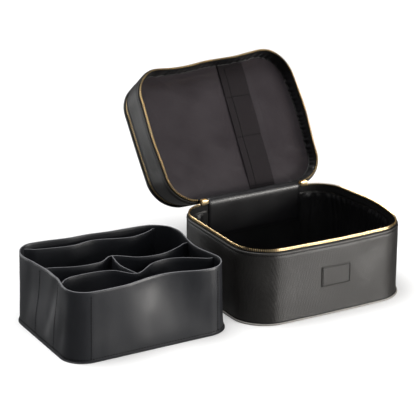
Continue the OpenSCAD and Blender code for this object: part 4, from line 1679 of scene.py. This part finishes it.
@dataclass
class Slider:
    """One zip slider with its hanging tab, in pale brass."""

    name: str
    slider_body: str
    pull_body: str
    stand: Matrix
    hang: float = 0.0
    length: float = 0.012
    height: float = 0.0084
    plate: float = 0.0013
    gap: float = 0.0035
    pull_out: float = 0.0050
    pull: tuple[float, float, float] = (0.006, 0.024, 0.0012)

    def build(self) -> None:
        """Builds the slider and its tab."""
        body = joined(self.name + "_body", [self.cheek(-1), self.cheek(1), self.bridge()])
        Home(self.slider_body, STILL, self.stand).take(shade(body, 35), BRASS, self.name, soft=False)
        tab = self.tab()
        stand = self.stand @ Matrix.Translation((0, self.pull_out, 0)) @ Matrix.Rotation(self.hang, 4, "X")
        Home(self.pull_body, STILL, stand).take(shade(tab, 35), BRASS, self.name.replace("slider", "pull"),
                                                soft=False)

    def cheek(self, side: int) -> Piece:
        """One plate of the slider: a shield with turned-in lips, domed on the outer side."""
        near, far = self.gap / 2, self.gap / 2 + self.plate
        plan = Plan(self.length, self.height, 0.0024)
        piece = slab("cheek", plan.levels((near, 0), (near + 0.0006, 0), (far - 0.0002, 0.0004),
                                          (far, 0.0011)), Cuts(6, 5, 3))

        def shield(point: Vector) -> Vector:
            """Waists the plate towards its closed end."""
            t = (point.x + self.length / 2) / self.length
            return Vector((point.x, point.y * (0.86 + 0.14 * math.cos(math.pi * (t - 0.25))), point.z))

        shape(piece, shield)
        piece.data.transform(Matrix.Rotation(-math.pi / 2 * side, 4, "X"))
        return piece

    def bridge(self) -> Piece:
        """The post between the rows and the arch that holds the tab's eye."""
        clear_selection()
        bpy.ops.mesh.primitive_cube_add(size=1.0)
        post = started("post")
        with editing(post, "FACE"):
            bpy.ops.transform.resize(value=(0.003, self.gap, 0.0016))
            bpy.ops.transform.translate(value=(self.length / 2 - 0.0018, 0, 0))
        far, top = self.gap / 2 + self.plate - 0.0004, self.pull_out
        line = [Vector((-0.0036, far, 0)), Vector((-0.0034, top - 0.0008, 0)), Vector((-0.0029, top, 0)),
                *[Vector((x, top, 0)) for x in (-0.0015, 0, 0.0015)],
                Vector((0.0029, top, 0)), Vector((0.0034, top - 0.0008, 0)), Vector((0.0036, far, 0))]
        arch = tube("arch", line, 0.0008)
        return joined("bridge", [round_edges(post, 0.0002, 1), arch])

    def tab(self) -> Piece:
        """The long tab: an eye round the arch, a neck and a rounded plate with a hole near its tip."""
        width, length, thick = self.pull
        neck = 0.005
        plan = Plan(width, length - neck, width / 2 - 0.0001)
        hole = Plan(0.0028, 0.0028, 0.0013)
        levels = plan.levels((0, 0.0003), (0.0003, 0), (thick - 0.0003, 0), (thick, 0.0003))
        outer = wall("tab", levels, Cuts(8, 1, 4))
        inner = wall("tab_hole", [(0, hole), (thick, hole)], Cuts(8, 0, 0))
        place = -(length - neck) / 2 + width / 2
        inner.data.transform(Matrix.Translation((0, place, 0)))
        with editing(inner, "FACE"):
            bpy.ops.mesh.flip_normals()
        piece = joined("tab", [outer, inner])
        with editing(piece, "EDGE"):
            for height in (0, thick):
                choose(piece, "edges", lambda edge: edge.is_boundary and all(
                    abs(vertex.co.z - height) < FLAT for vertex in edge.verts))
                bpy.ops.mesh.fill(use_beauty=True)
        face_outwards(piece)
        piece.data.transform(Matrix.Translation((0, thick / 2, -neck - (length - neck) / 2))
                             @ Matrix.Rotation(math.pi / 2, 4, "X"))
        bar = ribbon("neck", [Vector((0, 0, -0.0014)), Vector((0, 0, -0.0032)), Vector((0, 0, -neck - 0.001))],
                     0.0034, thick)
        eye = tube("eye", [Vector((-0.0012, 0.0013 * math.cos(a), 0.0013 * math.sin(a)))
                           for a in (math.pi / 8 * k for k in range(16))], 0.00055, closed=True)
        other = eye.copy()
        other.data = eye.data.copy()
        other.data.transform(Matrix.Translation((0.0024, 0, 0)))
        bpy.context.scene.collection.objects.link(other)
        name = self.name.replace("slider", "pull") + "_tab"
        return joined(name, [piece, round_edges(bar, 0.0002, 1), eye, other])


def sliders() -> list[Slider]:
    """The two sliders of the main zip and the one of the top zip, on their tapes."""
    out = []
    for side, word in ((-1, "left"), (1, "right")):
        turn = Matrix.Scale(-1, 4, (1, 0, 0)) if side > 0 else Matrix.Identity(4)
        stand = Matrix.Translation((side * SLIDER_X, HINGE_Y - ROW_IN, RIM)) @ turn
        out.append(Slider("main_slider_" + word, "slider_" + word, "pull_" + word, stand))
    stand = (OPEN_LID @ Matrix.Translation((SLIDER_X, HINGE_Y - TAPER - ROW_IN, ZIP_Z))
             @ Matrix.Scale(-1, 4, (1, 0, 0)))
    out.append(Slider("top_slider", "slider_top", "pull_top", stand, OPEN))
    return out


def through(points: Sequence[tuple[float, float]], t: float) -> Vector:
    """A point on the smooth curve through some points, at a share of the way from 0 to 1."""
    spans = len(points) - 1
    i = min(int(t * spans), spans - 1)
    u = t * spans - i
    ends = [Vector(points[min(max(i + k, 0), spans)]) for k in (-1, 0, 1, 2)]
    before, here, there, after = ends
    return 0.5 * (2 * here + (there - before) * u + (2 * before - 5 * here + 4 * there - after) * u * u
                  + (3 * here - before - 3 * there + after) * u ** 3)


Rise = Callable[[float], Vector]


@dataclass
class Divider:
    """One soft leather divider, which sags more at its top than at the floor.

    Lengths along the top curve are in millimetres, from the insert's middle.
    """

    name: str
    curve: tuple[tuple[float, float], ...]
    ends: tuple[Rise, Rise]
    low: float = 0.0016
    top: float = 0.095
    thickness: float = 0.0016

    def point(self, t: float, z: float) -> Vector:
        """Where a share of the way along the divider lies, at a height."""
        up = (z - self.low) / (self.top - self.low)
        start, end = (rise(self.top) for rise in self.ends)
        first, last = (rise(z) for rise in self.ends)
        sag = Vector((*(through(self.curve, t) * MM), 0)) - Vector((*start.xy.lerp(end.xy, t), 0))
        ease = smoothstep(min(t, 1 - t) / 0.06)
        return Vector((*first.xy.lerp(last.xy, t), z)) + sag * (0.55 + 0.45 * smoothstep(up)) * ease

    def nearest(self, x: float, y: float) -> Rise:
        """The rise of the divider's point that is nearest a place on its top, for another to end on."""
        goal = Vector((x * MM, y * MM))
        best = min((k / 100 for k in range(101)), key=lambda t: (self.point(t, self.top).xy - goal).length)
        return lambda z: self.point(best, z)

    def build(self) -> Piece:
        """The divider, closed, with a rounded cut edge along its top, which the insert's finish later paints
        paler.
        """
        def placed(point: Vector) -> Vector:
            """Stands the sheet up along the divider's line."""
            z = self.low + (self.top - self.low) * (point.y + 0.5)
            return self.point(point.x + 0.5, z)

        piece = sheet_of(self.name, 60, 14, placed)
        thicken(piece, self.thickness, offset=0.0)
        return round_edges(face_outwards(piece), 0.00035, 2, 50)


@dataclass
class DividerInsert:
    """The removable insert: a soft open box of coated leather with four dividers."""

    plan: Plan = Plan(0.241, 0.192, 0.032)
    height: float = 0.100
    sheet: float = 0.0016
    flange: float = 0.002
    narrowing: float = 0.004
    softness: Softness = Softness((
        Swell(-0.108, -0.005, 0.075, (0.0090, 0.0)),
        Swell(-0.085, 0.098, 0.060, (0.0, 0.0080)),
        Swell(0.060, 0.096, 0.075, (0.0, -0.0070)),
        Swell(0.105, 0.085, 0.040, (-0.0060, -0.0060)),
        Swell(0.015, -0.094, 0.060, (0.0, 0.0100)),
        Swell(0.092, -0.098, 0.045, (0.0, -0.0040)),
        Swell(0.112, -0.015, 0.060, (-0.0090, 0.0)),
    ), 0.0, 0.100, 0.0, 1.0)

    @property
    def home(self) -> Home:
        """The insert stands beside the case."""
        return Home("insert", STILL, Matrix.Translation(INSERT_PLACE))

    def plan_at(self, z: float) -> Plan:
        """The outline at a height: the sides lean in a little."""
        return replace(self.plan, width=self.plan.width - 2 * self.narrowing * z / self.height)

    def moved(self, point: Vector) -> Vector:
        """Where the soft wall takes a point, with the creases of its left side."""
        out = self.softness.moved(point)
        if point.x < -self.plan.width / 2 + 0.02:
            t = point.z / self.height
            for low, high, depth in ((-0.004, -0.033, 0.0016), (-0.052, -0.073, 0.0012),
                                     (0.052, 0.040, 0.0009)):
                away = (point.y - (low + (high - low) * t)) / 0.011
                out.x += depth * math.exp(-away * away) * smoothstep(t / 0.3)
        return out

    @staticmethod
    def bump(point: Vector) -> float:
        """Slight unevenness of the wall, none at the floor."""
        return unevenness(point, 0.035, 0.0012) * smoothstep(point.z / 0.02)

    def rise(self, x: float, y: float) -> Rise:
        """The line up the wall's inner face whose top is nearest a place, in millimetres."""
        goal = Vector((x * MM, y * MM))

        def at(s: float, z: float) -> Vector:
            """The inner face at a share of the way round."""
            plan = self.plan_at(z).inset(self.sheet * 0.75)
            return self.moved(Vector((*plan.along(plan.length * s)[0], z)))

        best = min((k / 800 for k in range(800)), key=lambda s: (at(s, 0.095).xy - goal).length)
        return lambda z: at(best, z)

    def build(self) -> None:
        """Builds the floor, the wall, the dividers and their seams."""
        self.build_floor()
        self.build_wall()
        back = self.across("back_pocket", (-95, 92), (-38, 78), (0, 82), (52, 67), (94, 80))
        middle = self.across("middle_divider", (-101, 21), (-62, 5), (-27, 4), (-4, 17), (26, -5),
                             (58, -10), (85, -1), (106, 11))
        front = self.across("front_divider", (-106, -37), (-82, -24), (-30, -29), (-3, -56), (34, -33),
                            (68, -32), (109, -57))
        cross = Divider("cross_divider", ((-4, 17), (-9, -10), (-9, -26), (-6, -42), (-3, -56)),
                        (middle.nearest(-4, 17), front.nearest(-3, -56)))
        for divider, node in ((back, "insert_back_pocket"), (middle, "insert_middle_divider"),
                              (front, "insert_front_divider"), (cross, "insert_cross_divider")):
            self.finish(divider.build(), node)
        self.build_seams((middle, front))

    def across(self, name: str, *curve: tuple[float, float]) -> Divider:
        """A divider that goes from wall to wall."""
        return Divider(name, curve, (self.rise(*curve[0]), self.rise(*curve[-1])))

    def finish(self, piece: Piece, node: str) -> None:
        """Leather all over, with paler cut edges along the top."""
        shade(piece, 50)
        self.home.take(piece, INSERT, node, soft=False)
        top = max(vertex.co.z for vertex in piece.data.vertices)
        paint_faces(piece, CUT_EDGE, lambda face: face.center.z > top - 0.0005 and face.normal.z > 0.6)

    def build_floor(self) -> None:
        """The stiff leather floor, which stands out as a thin flange."""
        plan = self.plan.inset(-self.flange)
        piece = slab("insert_leather_floor", plan.levels(
            (0, 0.0005), (0.0004, 0), (self.sheet - 0.0004, 0), (self.sheet, 0.0005)), Cuts(10, 16, 12))
        self.home.take(shade(piece, 40), INSERT, "insert_floor", soft=False)

    def build_wall(self) -> None:
        """The soft wall, sewn to the floor, with its raw edge at the top."""
        high, t = self.height, self.sheet
        heights = (self.sheet, 0.005, 0.012, 0.022, 0.034, 0.046, 0.058, 0.070, 0.081, 0.090, 0.096)
        outside = [(z, self.plan_at(z)) for z in heights]
        top = self.plan_at(high).levels((high - 0.0004, 0), (high, 0.0004), (high, t - 0.0004),
                                        (high - 0.0004, t))
        inside = [(z, self.plan_at(z).inset(t)) for z in reversed(heights)]
        piece = collar("insert_soft_wall", outside + top + inside, Cuts(16, 44, 36))
        shape(piece, lambda p: self.moved(p) + Vector((*self.plan.outward(p.x, p.y), 0)) * self.bump(p))
        self.finish(piece, "insert_wall")

    def build_seams(self, dividers: Sequence[Divider]) -> None:
        """Upright rows of stitches where the dividers are sewn to the wall, and the row round the floor."""
        places: list[Matrix] = []
        rows = [(divider.point(t, 0.003), divider.point(t, 0.094)) for divider in dividers for t in (0, 1)]
        for x_low, x_high in ((-0.092, -0.090), (0.100, 0.098)):
            front = -self.plan.depth / 2
            rows.append((Vector((x_low, front, 0.003)), Vector((x_high, front, 0.094))))
        for low, high in rows:
            count = 22
            line = []
            for k in range(count + 1):
                z = 0.004 + 0.090 * k / count
                near = low.lerp(high, k / count)
                plan = self.plan_at(z)
                out = plan.outward(near.x, near.y)
                line.append((self.on_wall(near, z), Vector((*out, 0))))
            for (here, out), (there, _) in pairwise(line):
                along = (there - here).normalized()
                side = along.cross(out).normalized()
                face = side.cross(along)
                places.append(Matrix.Translation((here + there) / 2 + face * 0.0001)
                              @ Matrix((along, face, side)).transposed().to_4x4())
        places.extend(self.plan.inset(-0.0001).places(0.0042, 0.0046))
        seam("insert_stitches", self.home, places, soft=False)

    def on_wall(self, near: Vector, z: float) -> Vector:
        """The point of the wall's outer face nearest a point, at a height."""
        plan = self.plan_at(z)
        out = plan.outward(near.x, near.y)
        hx, hy = plan.half
        core = Vector((min(max(near.x, -hx), hx), min(max(near.y, -hy), hy)))
        if abs(out.x) > 0.999:
            core = Vector((math.copysign(hx, near.x), near.y))
        elif abs(out.y) > 0.999:
            core = Vector((near.x, math.copysign(hy, near.y)))
        flat = core + out * plan.corner
        point = Vector((flat.x, flat.y, z))
        return self.moved(point) + Vector((*out, 0)) * self.bump(point)


@dataclass
class Studio:
    """The pale floor, the soft light and the camera."""

    focal: float = 36 * 1900 / 416
    turn: float = math.radians(29.23)
    height: float = math.radians(20.33)
    shift: tuple[float, float, float] = (0.11903, -0.11296, 2.7354)

    def build(self) -> None:
        """Builds the floor, lights and camera."""
        scene = bpy.context.scene
        self.build_floor()
        self.build_light()
        self.build_camera()
        scene.view_settings.view_transform = "Standard"

    def build_floor(self) -> None:
        """A wide plain floor."""
        clear_selection()
        bpy.ops.mesh.primitive_plane_add(size=1.0)
        piece = started("studio_floor")
        shape(piece, lambda p: Vector((p.x * 14, p.y * 14, -0.0001)))
        material = bpy.data.materials.new("studio_floor")
        material.use_nodes = True
        surface = material.node_tree.nodes["Principled BSDF"]
        surface.inputs["Base Color"].default_value = (0.86, 0.86, 0.86, 1)
        surface.inputs["Roughness"].default_value = 0.9
        surface.inputs["Specular IOR Level"].default_value = 0.1
        piece.data.materials.append(material)
        piece.visible_glossy = False

    def build_light(self) -> None:
        """A dim surrounding, broad daylight from above and two soft panels for the highlights."""
        world = bpy.data.worlds.new("studio")
        world.use_nodes = True
        back = world.node_tree.nodes["Background"]
        back.inputs["Color"].default_value = (1, 1, 1, 1)
        back.inputs["Strength"].default_value = 0.13
        bpy.context.scene.world = world
        self.light("daylight", "SUN", (-0.5, 0.3, 3.0), 3.4, angle=math.radians(50))
        self.light("front_panel", "AREA", (1.10, -1.50, 0.02), 92, size=1.0, color=(1.0, 0.97, 0.93))
        self.light("side_panel", "AREA", (-1.15, 1.55, 0.15), 13, size=0.9)
        self.light("lid_panel", "AREA", (0.30, -2.2, 1.3), 15, size=1.2)

    @staticmethod
    def light(name: str, kind: str, place: tuple[float, float, float], energy: float,
              **settings: object) -> None:
        """Adds one light that shines on the case."""
        light = bpy.data.lights.new(name, kind)
        light.energy = energy
        for setting, value in settings.items():
            setattr(light, setting, value)
        lamp = bpy.data.objects.new(name, light)
        bpy.context.scene.collection.objects.link(lamp)
        lamp.location, lamp.visible_camera = place, False
        lamp.rotation_euler = (Vector((0, 0, 0.1)) - Vector(place)).to_track_quat("-Z", "Y").to_euler()

    def build_camera(self) -> None:
        """The camera, in front of the case, to its left and a little above it."""
        level = math.cos(self.height)
        ahead = Vector((math.sin(self.turn) * level, math.cos(self.turn) * level, -math.sin(self.height)))
        right = Vector((math.cos(self.turn), -math.sin(self.turn), 0))
        up = right.cross(ahead)
        place = -(right * self.shift[0] + up * self.shift[1] + ahead * self.shift[2])
        lens = bpy.data.cameras.new("camera")
        lens.lens, lens.sensor_width, lens.clip_end = self.focal, 36, 20
        camera = bpy.data.objects.new("camera", lens)
        bpy.context.scene.collection.objects.link(camera)
        camera.matrix_world = Matrix.Translation(place) @ Matrix((right, up, -ahead)).transposed().to_4x4()
        bpy.context.scene.camera = camera


def main() -> None:
    """Builds every sub-assembly."""
    logging.basicConfig(level=logging.INFO, format="%(message)s")
    for part in (CaseBody(), Lid(), Cover(), Hinges(), Mirror(), Handle(), *sliders(), DividerInsert(),
                 Studio()):
        LOG.info("building %s", type(part).__name__)
        part.build()


if __name__ == "__main__":
    main()
